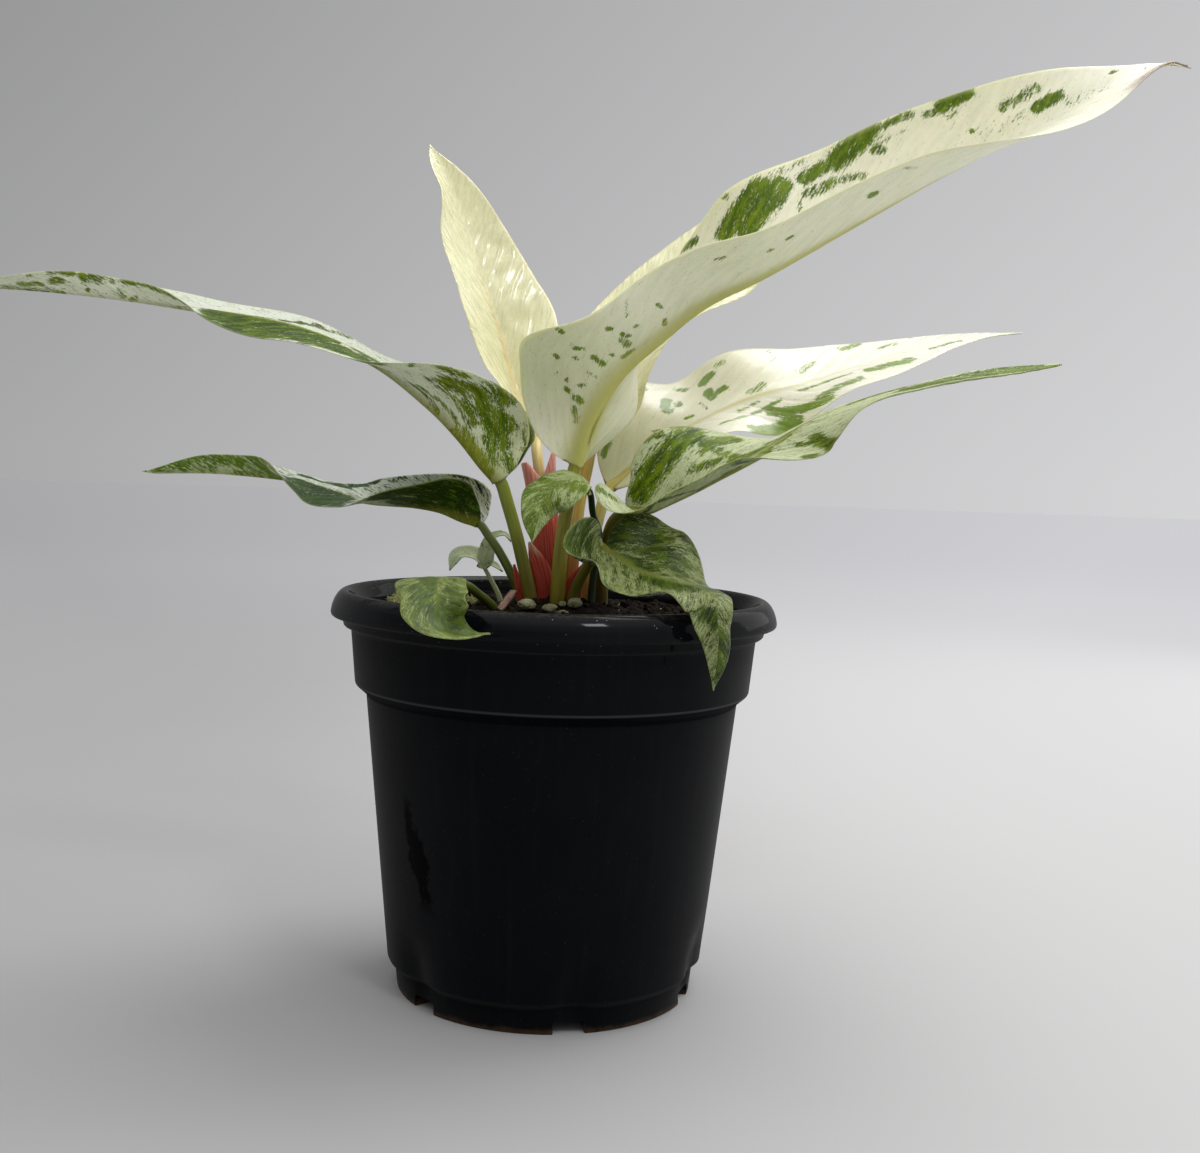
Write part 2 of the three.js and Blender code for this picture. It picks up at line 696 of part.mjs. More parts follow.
// Pot, turned from its outline, with drain holes at the foot
function lipArc() {
  return evenSteps(LIP_STEPS).map((share) => {
    const turn = radians(LIP_FROM_DEG + share * (LIP_TO_DEG - LIP_FROM_DEG));
    return [LIP_CENTRE[0] + LIP_RADIUS * Math.cos(turn), LIP_CENTRE[1] + LIP_RADIUS * Math.sin(turn)];
  });
}

// Inside of the pot from its mouth down to the floor
const POT_INSIDE = [
  [COLLAR_TOP[0] - WALL, INSIDE_HEIGHTS.mouth],
  [COLLAR_FOOT[0] - WALL, INSIDE_HEIGHTS.collarFoot],
  [BODY_TOP[0] - WALL, INSIDE_HEIGHTS.bodyTop],
  [BODY_FOOT[0] - WALL, INSIDE_HEIGHTS.bodyFoot],
  [FOOT_RADIUS - WALL, POT_FLOOR],
];

function potSolid() {
  const outline = [
    [0, 0],
    [FOOT_RADIUS, 0],
    FOOT_TOP,
    BODY_FOOT,
    BODY_TOP,
    COLLAR_FOOT,
    COLLAR_TOP,
    BEAD,
    ...lipArc(),
    ...POT_INSIDE,
    [0, POT_FLOOR],
  ].map(([radius, height]) => new THREE.Vector2(radius, height));
  const body = solidOf(new THREE.LatheGeometry(outline, POT_SEGMENTS).rotateX(Math.PI / 2));
  return Array.from({ length: DRAIN_COUNT }).reduce((rest, _, k) => rest.subtract(drain(k)), body);
}

function drain(k) {
  const [near, far] = DRAIN_REACH;
  const turn = radians(DRAIN_FIRST_DEG + 360 * k / DRAIN_COUNT);
  return solidOf(new THREE.BoxGeometry(DRAIN_WIDTH, far - near, DRAIN_HEIGHT + 1)
    .translate(0, -(near + far) / 2, (DRAIN_HEIGHT - 1) / 2)
    .rotateZ(turn));
}

// Potting mix, filling the pot up to its mounded top
function mixHeight(x, y) {
  const [cx, cy] = MOUND_CENTRE;
  const away = Math.hypot(x - cx, y - cy) / MOUND_SPREAD;
  const ripple = Math.sin(x * RIPPLE_X.turns + RIPPLE_X.start)
    * Math.cos(y * RIPPLE_Y.turns + RIPPLE_Y.start);
  return MIX_EDGE_Z + MOUND_RISE * Math.exp(-(away ** 2) / 2) + MIX_RIPPLE * ripple;
}

function mixBody() {
  const ring = (radius, height) => Array.from({ length: POT_SEGMENTS }, (_, k) => {
    const turn = 2 * Math.PI * k / POT_SEGMENTS;
    const x = radius * Math.sin(turn);
    const y = -radius * Math.cos(turn);
    return [x, y, height ?? mixHeight(x, y)];
  });
  const edge = POT_INSIDE[0][0] - GAP;
  const sides = [...POT_INSIDE].reverse().slice(0, -1);
  return ringBody([
    ...sides.map(([radius, height]) => ring(radius - GAP, Math.max(height, POT_FLOOR + GAP))),
    ...evenSteps(MIX_RINGS).slice(0, MIX_RINGS).map((step) => ring(edge * (1 - step) ** MIX_CROWDING)),
  ]);
}

// Assembly
const plant = new THREE.Group();
plant.name = 'potted_variegated_anthurium';

const leaves = {
  leaf_upper_right: [upperRightLeaf(), PALE_GREEN],
  leaf_back: [backLeaf(), CREAM],
  leaf_behind: [behindLeaf(), CREAM],
  leaf_right_middle: [rightMiddleLeaf(), CREAM],
  leaf_right_lower: [rightLowerLeaf(), MARBLED_GREEN],
  leaf_upper_left: [upperLeftLeaf(), MARBLED_GREEN],
  leaf_lower_left: [lowerLeftLeaf(), DEEP_GREEN],
  leaf_front_right: [frontRightLeaf(), DEEP_GREEN],
  leaf_centre: [centreLeaf(), MARBLED_GREEN],
  leaf_front_left: [frontLeftLeaf(), MARBLED_GREEN],
};
const petioles = Object.values(leaves).map(([leaf]) => leaf);
Object.entries(leaves).forEach(([name, [leaf, colour]]) => {
  plant.add(piece(name, leafSolid(leaf), paint(colour, LEAF_ROUGHNESS)));
});

const sheaths = {
  sheath_tall_left: [tallLeftSheath(), SHEATH_PINK],
  sheath_tall_right: [tallRightSheath(), SHEATH_PINK],
  sheath_front_left: [frontLeftSheath(), SHEATH_RED],
  sheath_front_right: [frontRightSheath(), SHEATH_RED],
  sheath_small_left: [smallLeftSheath(), SHEATH_RED],
};
Object.entries(sheaths).forEach(([name, [shape, colour]]) => {
  plant.add(piece(name, sheathSolid(shape, petioles), paint(colour, LEAF_ROUGHNESS)));
});

plant.add(piece('seedling', seedlingSolid(), paint(PALE_GREEN, LEAF_ROUGHNESS)));

const seats = [
  ...petioles.map(petioleRoom),
  ...Object.values(sheaths).map(([shape]) => sheathRoom(shape)),
  tube(
    withLowerFoot(SEEDLING_FOOT, GAP),
    SEEDLING_RADII.map(() => Math.max(...SEEDLING_RADII) + PETIOLE_GAP),
    TUBE_SIDES,
  ),
];

pebbles.forEach((shape, k) => {
  plant.add(piece(`pebble_${k + 1}`, shape(0), paint(STONE, STONE_ROUGHNESS)));
  seats.push(shape(GAP));
});
plant.add(piece('moss_left', mossLeft(0), paint(MOSS, MOSS_ROUGHNESS)));
plant.add(piece('moss_front', mossFront(0), paint(MOSS, MOSS_ROUGHNESS)));
plant.add(piece('wood_chip', woodChip(0), paint(WOOD, STONE_ROUGHNESS)));
seats.push(mossLeft(GAP), mossFront(GAP), woodChip(GAP));

const mix = seats.reduce((rest, seat) => rest.subtract(seat), mixBody());
plant.add(piece('potting_mix', mix, paint(MIX_BROWN, MIX_ROUGHNESS)));
plant.add(piece('pot', potSolid(), paint(POT_BLACK, POT_ROUGHNESS)));

export default plant;
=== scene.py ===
# A potted variegated anthurium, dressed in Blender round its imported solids.
# Lengths are in millimetres in the tables and in metres in Blender.
import json
import math
from dataclasses import dataclass

import bmesh
import bpy
import numpy as np
from mathutils import Matrix, Vector, noise


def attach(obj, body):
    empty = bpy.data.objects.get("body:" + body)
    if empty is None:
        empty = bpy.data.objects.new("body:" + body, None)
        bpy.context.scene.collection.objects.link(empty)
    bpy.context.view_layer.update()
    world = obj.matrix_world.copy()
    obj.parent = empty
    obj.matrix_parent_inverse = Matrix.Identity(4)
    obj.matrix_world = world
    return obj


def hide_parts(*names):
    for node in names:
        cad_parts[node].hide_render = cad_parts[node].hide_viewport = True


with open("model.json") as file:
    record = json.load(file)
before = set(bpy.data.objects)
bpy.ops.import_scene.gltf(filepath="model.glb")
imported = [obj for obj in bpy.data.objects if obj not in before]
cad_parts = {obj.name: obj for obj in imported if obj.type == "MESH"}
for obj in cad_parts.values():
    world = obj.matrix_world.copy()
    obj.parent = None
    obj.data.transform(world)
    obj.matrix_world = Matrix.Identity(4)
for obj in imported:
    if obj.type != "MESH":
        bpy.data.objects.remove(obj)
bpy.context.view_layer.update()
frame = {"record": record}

MM = 0.001
RANDOM_SEED = 11


# Curves and vectors

def curve_at(points, u):
    """Smooth curve through points (n, k) at parameters u counted in points."""
    points = np.asarray(points, float)
    u = np.atleast_1d(np.asarray(u, float))
    first = 2 * points[0] - points[1]
    last = 2 * points[-1] - points[-2]
    padded = np.vstack([first, points, last])
    i = np.clip(np.floor(u).astype(int), 0, len(points) - 2)
    w = (u - i)[:, None]
    p0, p1, p2, p3 = (padded[i + k] for k in range(4))
    return 0.5 * (
        2 * p1
        + (p2 - p0) * w
        + (2 * p0 - 5 * p1 + 4 * p2 - p3) * w**2
        + (3 * p1 - p0 - 3 * p2 + p3) * w**3
    )


def values_at(values, s):
    """Smooth values spread evenly over s from 0 to 1."""
    column = np.asarray(values, float)[:, None]
    return curve_at(column, np.asarray(s) * (len(values) - 1))[:, 0]


def path_points(path, first, last, shares):
    """Points at shares of the length between two control points of a path."""
    dense = curve_at(path, np.linspace(first, last, 40 * (last - first) + 1))
    lengths = np.concatenate([[0], np.cumsum(np.linalg.norm(np.diff(dense, axis=0), axis=1))])
    wanted = np.asarray(shares) * lengths[-1]
    points = np.stack([np.interp(wanted, lengths, dense[:, k]) for k in range(3)], axis=1)
    return points, lengths[-1]


def round_turns(sides):
    """Angles of points spread evenly round a circle."""
    return np.arange(sides) * 2 * math.pi / sides


def unit(vectors):
    vectors = np.asarray(vectors, float)
    return vectors / np.linalg.norm(vectors, axis=-1, keepdims=True)


def directions(points):
    ahead = np.vstack([points[1:], points[-1:]])
    behind = np.vstack([points[:1], points[:-1]])
    return unit(ahead - behind)


def smoothstep(low, high, x):
    w = np.clip((x - low) / (high - low), 0, 1)
    return w * w * (3 - 2 * w)


def noise_at(points, scale, seed=0.0):
    """Smooth noise, about -1 to 1, at points in mm; scale is the size of its lumps in mm."""
    shift = Vector((seed * 17.3, seed * 5.1, seed * 9.7))
    flat = np.asarray(points).reshape(-1, 3) / scale
    made = [noise.noise(Vector(p) + shift) for p in flat]
    return np.array(made).reshape(np.asarray(points).shape[:-1]) * 1.6


# Meshes

def placed(name, data):
    """New object in the scene."""
    made = bpy.data.objects.new(name, data)
    bpy.context.scene.collection.objects.link(made)
    return made


def slot_of(node):
    return next(part["material_slot"] for part in frame["record"]["subparts"] if part["node"] == node)


class Build:
    """Collects vertices and faces, in mm, with a value of each attribute for each vertex."""

    def __init__(self):
        self.points, self.faces, self.slots = [], [], []
        self.values = {}
        self.count = 0

    def add(self, points, faces, slot=0, **values):
        """Slot is one material slot for all the faces or a list with one for each."""
        points = np.asarray(points, float).reshape(-1, 3)
        for name in {**self.values, **values}:
            width = np.shape(values[name] if name in values else self.values[name][0])[1:]
            fresh = np.broadcast_to(values.get(name, np.zeros(width)), (len(points), *width))
            if name not in self.values:
                self.values[name] = [np.zeros((self.count, *width))] if self.count else []
            self.values[name].append(np.array(fresh, float))
        self.points.append(points)
        self.faces += [tuple(v + self.count for v in face) for face in faces]
        self.slots += slot if isinstance(slot, list) else [slot] * len(faces)
        self.count += len(points)

    def piece(self, name, materials, node):
        """Object that rides the root body in place of a node, which it hides."""
        mesh = bpy.data.meshes.new(name)
        points = np.vstack(self.points) * MM
        mesh.from_pydata(points.tolist(), [], self.faces)
        for material in materials:
            mesh.materials.append(material)
        mesh.polygons.foreach_set("material_index", self.slots)
        mesh.polygons.foreach_set("use_smooth", [True] * len(self.faces))
        for key, parts in self.values.items():
            data = np.concatenate(parts)
            if data.ndim == 2:
                layer = mesh.uv_layers.new(name=key)
                loops = np.zeros(len(mesh.loops), int)
                mesh.loops.foreach_get("vertex_index", loops)
                layer.data.foreach_set("uv", data[loops].ravel())
            else:
                layer = mesh.attributes.new(key, "FLOAT", "POINT")
                layer.data.foreach_set("value", data)
        mesh.update()
        mesh.validate()
        piece, slot = placed(name, mesh), slot_of(node)
        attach(piece, "root")
        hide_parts(node)
        return piece


def grid_faces(rows, columns, start=0, closed=False, flip=False):
    """Quads over a grid of rows and columns of vertices."""
    faces = []
    for i in range(rows - 1):
        for j in range(columns if closed else columns - 1):
            a = start + i * columns + j
            b = start + i * columns + (j + 1) % columns
            quad = (a, b, b + columns, a + columns)
            faces.append(quad[::-1] if flip else quad)
    return faces


def capped_rings(rings, ends):
    """Closed surface over rings of vertices and the two points that cap them: (vertices, faces)."""
    rows, sides = np.shape(rings)[:2]
    count = rows * sides
    faces = grid_faces(rows, sides, closed=True)
    for k in range(sides):
        after = (k + 1) % sides
        faces.append((count, after, k))
        faces.append((count + 1, count - sides + k, count - sides + after))
    return np.vstack([np.reshape(rings, (-1, 3)), ends]), faces


def tube_parts(points, radii, sides):
    """Round tube along a line of points: (vertices, faces)."""
    points = np.asarray(points, float)
    along = directions(points)
    aside = unit(np.cross(along[0], [0.3, 1, 0.2]))
    turns = round_turns(sides)[:, None]
    rings = []
    for point, direction, radius in zip(points, along, radii):
        aside = unit(aside - direction * np.dot(aside, direction))
        other = np.cross(direction, aside)
        rings.append(point + radius * (np.cos(turns) * aside + np.sin(turns) * other))
    return capped_rings(rings, points[[0, -1]])


def along_tube(values, sides):
    """Values along a tube's line, for each of its vertices."""
    return np.concatenate([np.repeat(values, sides), values[[0, -1]]])


def add_sheet(build, grid, normals, above, below, **values):
    """Closed thin solid over a grid, above and below being its half thicknesses."""
    rows, columns = grid.shape[:2]
    top = grid + normals * above[..., None]
    under = grid - normals * below[..., None]
    count = rows * columns
    faces = grid_faces(rows, columns) + grid_faces(rows, columns, start=count, flip=True)
    slots = [0] * (len(faces) // 2) + [1] * (len(faces) // 2)
    edges = [(i * columns, (i + 1) * columns) for i in range(rows - 1)]
    edges += [((rows - 1) * columns + j, (rows - 1) * columns + j + 1) for j in range(columns - 1)]
    edges += [((i + 1) * columns + columns - 1, i * columns + columns - 1) for i in range(rows - 1)]
    edges += [(j + 1, j) for j in range(columns - 1)]
    faces += [(a, b, b + count, a + count) for a, b in edges]
    slots += [0] * len(edges)
    doubled = {name: np.concatenate([v.reshape(count, *v.shape[2:])] * 2) for name, v in values.items()}
    build.add(np.concatenate([top.reshape(-1, 3), under.reshape(-1, 3)]), faces, slots, **doubled)


# Leaves

@dataclass
class Half:
    """Half of a blade. Widths in mm and angles in degrees are spread from base to tip. The shoulder is
    the share of the length over which the base rounds out, the cup bends the half upwards by so many
    degrees towards its edge, and the lobe reaches back past the base in mm."""
    shoulder: float
    cup: float
    lobe: float
    widths: tuple
    angles: tuple


@dataclass
class Leaf:
    """The path runs from the petiole's foot to the blade's tip, and blade_from is its point where the
    blade starts. The upper face looks towards face. The petiole has a radius at its foot and one at its
    neck. Left and right are as seen from the petiole with the upper face on top."""
    path: list
    blade_from: int
    face: tuple
    petiole: tuple
    left: Half
    right: Half
    rows: int
    columns: int


LEAVES = {
    "leaf_upper_right": Leaf(
        [(0.5, -6, 95), (0.5, -6.5, 102), (1, -8, 114.5), (2.5, -10, 127), (4, -12, 136),
         (7.5, -15, 147.5), (14, -18, 159), (23.5, -21, 168), (34, -23, 176.5), (48.5, -25, 184),
         (69.5, -27, 196.5), (89, -29, 208), (112, -33, 220), (133.5, -34, 232.5), (143, -34, 233.5)],
        4, (-0.5, 0.6, 0.6), (2, 1.7),
        Half(0.15, 23, -6.5, (16.5, 18.5, 20.5, 22.5, 24, 22, 17, 11, 0),
             (10, -5, 25, 55, 100, 95, 110, 110, 30)),
        Half(0.14, 0, -9, (24.5, 26, 23, 19, 20.5, 19, 20, 14.5, 0),
             (40, 60, 5, 5, -12, -15, -30, -55, -55)),
        rows=330, columns=36,
    ),
    "leaf_back": Leaf(
        [(-2, 1.5, 95), (-2, 1.5, 103), (-2.7, 1.5, 111), (-4.2, 2, 126.5), (-6, 5, 138.5),
         (-7, 9.5, 143), (-12.8, 16, 156), (-17, 18, 169.5), (-20.5, 18, 179), (-27, 20, 196),
         (-32.5, 21, 210), (-37.5, 21, 220)],
        5, (0.5, -0.8, 0.2), (1.7, 1.4),
        Half(0.17, 0, 0, (14, 14, 14.5, 15, 17, 16.5, 15, 12, 0), (50, 50, 45, 35, 35, 35, 35, 50, 30)),
        Half(0.18, 13, 0, (14, 14, 15.5, 15, 16.5, 15, 12, 7.5, 0), (95, 80, 65, 40, 15, 5, 5, 15, 20)),
        rows=240, columns=34,
    ),
    "leaf_behind": Leaf(
        [(3.5, 3, 95), (3.5, 3, 103), (4.2, 3, 112), (5.2, 3, 125), (7, 3, 135),
         (8.3, 4, 141.5), (13.1, 12, 154.5), (22, 20, 170.5), (34.5, 25, 186.5), (49, 30, 201),
         (64.5, 34, 213.5), (82, 37, 223.5)],
        5, (-0.5, 0.2, 0.8), (1.9, 1.6),
        Half(0.25, 5, 0, (5, 10, 15, 17, 16.5, 15.5, 12.5, 7.5, 0), (40, 40, 50, 75, 70, 60, 60, 65, 65)),
        Half(0.15, -9, 0, (12, 13, 15, 16, 16.5, 16.5, 13.5, 9, 0),
             (-35, -30, -15, -15, -30, -55, -55, -55, -60)),
        rows=240, columns=28,
    ),
    "leaf_right_middle": Leaf(
        [(8.6, 5, 95), (8.4, 5, 102), (8.2, 5.5, 109), (10, 6, 119), (11.8, 6, 127),
         (13.5, 7, 130.5), (21, 10, 137.5), (31.5, 14, 145.5), (49.5, 18, 155), (68.5, 21.5, 161),
         (81, 23.5, 165.5), (99.5, 25.5, 172), (114, 27.5, 175.5), (127.5, 29.5, 177)],
        5, (-0.2, 0, 1), (1.7, 1.5),
        Half(0.22, 0, 2, (16.5, 19.5, 23, 23.5, 21.5, 18, 14, 8.5, 0), (90, 80, 60, 30, 40, 35, 25, 15, 5)),
        Half(0.16, 0, 2, (11.5, 14.5, 15, 15, 14, 15, 12, 5.5, 0),
             (-15, -10, -15, -20, -55, -20, -25, -25, -15)),
        rows=270, columns=31,
    ),
    "leaf_right_lower": Leaf(
        [(12, 0.5, 95), (12, 0.5, 102), (11.8, -1, 108.5), (12.4, -4, 116), (14, -7, 122),
         (17, -8.5, 124.5), (23, -11, 126), (33, -13.5, 131), (40, -14.5, 135), (53, -16.5, 142.5),
         (61.5, -16.5, 148.5), (73, -16.5, 154), (85.5, -16.5, 158), (97.5, -16.5, 160.5),
         (123.5, -16.5, 165)],
        5, (-0.2, 0, 1), (1.7, 1.4),
        Half(0.17, 10, 5.5, (14.5, 15, 18, 18, 15, 13, 10.5, 7, 0), (90, 90, 70, 25, -5, -5, -5, 5, 15)),
        Half(0.06, 20, 9, (17.5, 17, 13.5, 9.5, 17, 17.5, 12.5, 9, 0),
             (70, 0, 0, 0, -35, -15, -15, -15, -20)),
        rows=285, columns=31,
    ),
    "leaf_upper_left": Leaf(
        [(-5.5, -5.2, 95), (-6.5, -5.5, 102.5), (-8.5, -6, 110.5), (-10.5, -6.5, 118), (-13, -7, 126),
         (-15, -7.5, 131.5), (-19, -8, 136), (-25, -9, 143), (-33, -10, 150.5), (-46.5, -10, 160),
         (-65.5, -11, 167.5), (-88.5, -12, 171), (-114, -12, 173.5), (-138.5, -12, 174.5),
         (-156, -12, 173)],
        5, (0.2, 0, 1), (1.7, 1.6),
        Half(0.13, 14, 10, (16, 17, 17.5, 16, 15, 9.5, 5.5, 8, 0),
             (85, 90, 40, -10, -25, -30, 50, 15, -15)),
        Half(0.12, 28, 10, (19.5, 19, 19.5, 16.5, 14.5, 13, 13, 10, 0),
             (70, 70, 25, -5, 0, 0, 10, 10, -15)),
        rows=330, columns=34,
    ),
    "leaf_lower_left": Leaf(
        [(-9, 0, 95), (-9.2, 0, 102), (-11.5, 0, 107), (-15, 1, 113), (-18, 2, 117),
         (-20.5, 3, 120), (-25, 4, 121.5), (-30.5, 5, 123.5), (-38, 6, 124.5), (-51, 8, 125),
         (-63, 9, 128), (-71, 9, 130), (-91.5, 10, 131), (-109.5, 10, 130.5)],
        5, (0.2, 0, 1), (1.3, 1.1),
        Half(0.15, 6, 3, (9.5, 12, 13, 13, 14.5, 10, 6, 4.5, 0), (90, 70, 30, 10, -15, -20, 60, 80, 80)),
        Half(0.1, 12, 5.5, (12.5, 14, 9.5, 8, 10, 9.5, 8.5, 5.5, 0), (10, 40, 70, 60, 15, 0, 20, 15, 10)),
        rows=240, columns=25,
    ),
    "leaf_front_right": Leaf(
        [(4.1, -5.4, 95), (4.1, -6, 101.5), (5.8, -8, 106.5), (8, -12, 111), (9.5, -16, 114),
         (11, -19, 116), (19, -27, 111.5), (26, -36, 109.5), (33, -45, 108.5), (36, -51, 106.5),
         (36.5, -53, 102), (37, -52, 96), (36.5, -50, 86)],
        5, (0.5, -0.6, 0.7), (1.5, 1.2),
        Half(0.14, 5, 8, (11, 13, 14.5, 14.5, 11.5, 8, 4, 3.5, 0), (80, 60, 40, 40, -5, -10, 5, 5, 50)),
        Half(0.07, 48, 4.5, (14, 16.5, 12.5, 14, 13, 9.5, 7, 3.5, 0),
             (80, -10, -15, -35, -40, -35, -70, -80, -80)),
        rows=195, columns=28,
    ),
    "leaf_centre": Leaf(
        [(9.4, -4, 95), (9.2, -4, 103), (9.8, -5, 111), (10.6, -7.5, 118.5), (8.7, -12, 124),
         (7.6, -17, 129.5), (4.5, -21, 132.5), (0.5, -25, 131), (-3.5, -27, 127.5), (-5, -28, 122),
         (-6, -28, 117)],
        5, (-0.3, -0.5, 1), (1, 0.8),
        Half(0.18, -11, 0, (3.5, 4, 4.5, 6, 7.5, 7, 5, 2, 0), (-50, -50, -20, -5, -5, -20, -50, -60, -55)),
        Half(0.17, 25, 4, (6.5, 6.5, 6.5, 6, 6.5, 6.5, 5, 3.5, 0), (80, 30, 5, 0, 0, 0, 25, 30, 30)),
        rows=135, columns=20,
    ),
    "leaf_front_left": Leaf(
        [(-13.8, -11, 93.5), (-14.5, -12, 98), (-16.5, -15, 101), (-18.8, -20.5, 103.5),
         (-21, -27, 106), (-23.5, -34, 107.5), (-26, -42, 109), (-26.5, -52, 107.5),
         (-25, -62, 103), (-21, -63, 99), (-14, -60, 98.5)],
        5, (-0.2, -0.4, 1), (1.2, 1),
        Half(0.22, 0, 0, (4, 4, 5, 6, 6.5, 7, 6.5, 5.5, 0), (75, 15, -10, -10, -10, 0, 25, 55, -60)),
        Half(0.17, 0, 0, (7.5, 8, 8, 9, 9.5, 8, 8, 5, 0), (25, 5, 0, 5, 10, 10, 10, 20, 10)),
        rows=150, columns=20,
    ),
}

FOLD_SOFTNESS = 1.3
LOBE_REACH = 0.2
# Rows lie closer at the base, columns closer at the rib, and half-widths closer at the base
ROW_POWER, COLUMN_POWER, WIDTH_POWER = 1.1, 1.25, 0.75
LEAST_WIDTH = 0.15


class Blade:
    """Grid of points over a blade with each point's place on it: its share s of the length, its share t
    of the half-width (left positive), and its distances u along the rib and across from it in mm."""

    def __init__(self, leaf, softness=FOLD_SOFTNESS):
        self.s = np.linspace(0, 1, leaf.rows + 1) ** ROW_POWER
        self.rib, self.length = path_points(leaf.path, leaf.blade_from, len(leaf.path) - 1, self.s)
        self.along = directions(self.rib)
        knot = self.s**WIDTH_POWER
        level = unit(np.cross(np.broadcast_to(leaf.face, self.along.shape), self.along))
        up = np.cross(self.along, level)
        steps = (np.arange(leaf.columns + 1) / leaf.columns) ** COLUMN_POWER
        angles = [np.radians(values_at(half.angles, knot)) for half in (leaf.left, leaf.right)]
        tilt = (angles[0] - angles[1]) / 2
        sides, widths = [], []
        for half, sign, lean in ((leaf.left, 1, angles[0]), (leaf.right, -1, angles[1])):
            rise = np.sqrt(np.clip(1 - (1 - self.s / max(half.shoulder, 1e-6)) ** 2, 0, 1))
            shoulder = np.where(self.s < half.shoulder, rise, 1)
            width = np.maximum(values_at(half.widths, knot) * shoulder, LEAST_WIDTH)
            lobe = np.where(self.s < LOBE_REACH, half.lobe * (1 - self.s / LOBE_REACH), 0)
            reached, side = self.rib, []
            for before, after in zip(steps, steps[1:]):
                middle = (before + after) / 2
                # Near the rib both halves turn to the same tilt, so that the fold is soft
                near = np.exp(-((middle * width / softness) ** 2))
                angle = lean + math.radians(half.cup) * middle
                angle = angle + (sign * tilt - angle) * near
                outward = sign * level * np.cos(angle)[:, None] + up * np.sin(angle)[:, None]
                reached = reached + outward * (width * (after - before))[:, None]
                back = lobe * (after * width / max(half.widths)) ** 2
                side.append(reached - self.along * back[:, None])
            sides.append(side)
            widths.append(width[:, None])
        self.grid = np.stack([*sides[0][::-1], self.rib, *sides[1]], axis=1)
        self.t = np.concatenate([steps[:0:-1], -steps])
        self.across = self.t * np.where(self.t > 0, widths[0], widths[1])
        self.u = np.broadcast_to((self.s * self.length)[:, None], self.across.shape)

    def uv(self):
        return np.stack([self.u, self.across], axis=-1)

    def normals(self):
        down = np.gradient(self.grid, axis=0)
        over = np.gradient(self.grid, axis=1)
        return unit(np.cross(over, down))


# Strokes of green on each blade, from one place to another. A place is mm along the midrib and mm
# across, left positive. The half-width in mm and the amount of green follow.

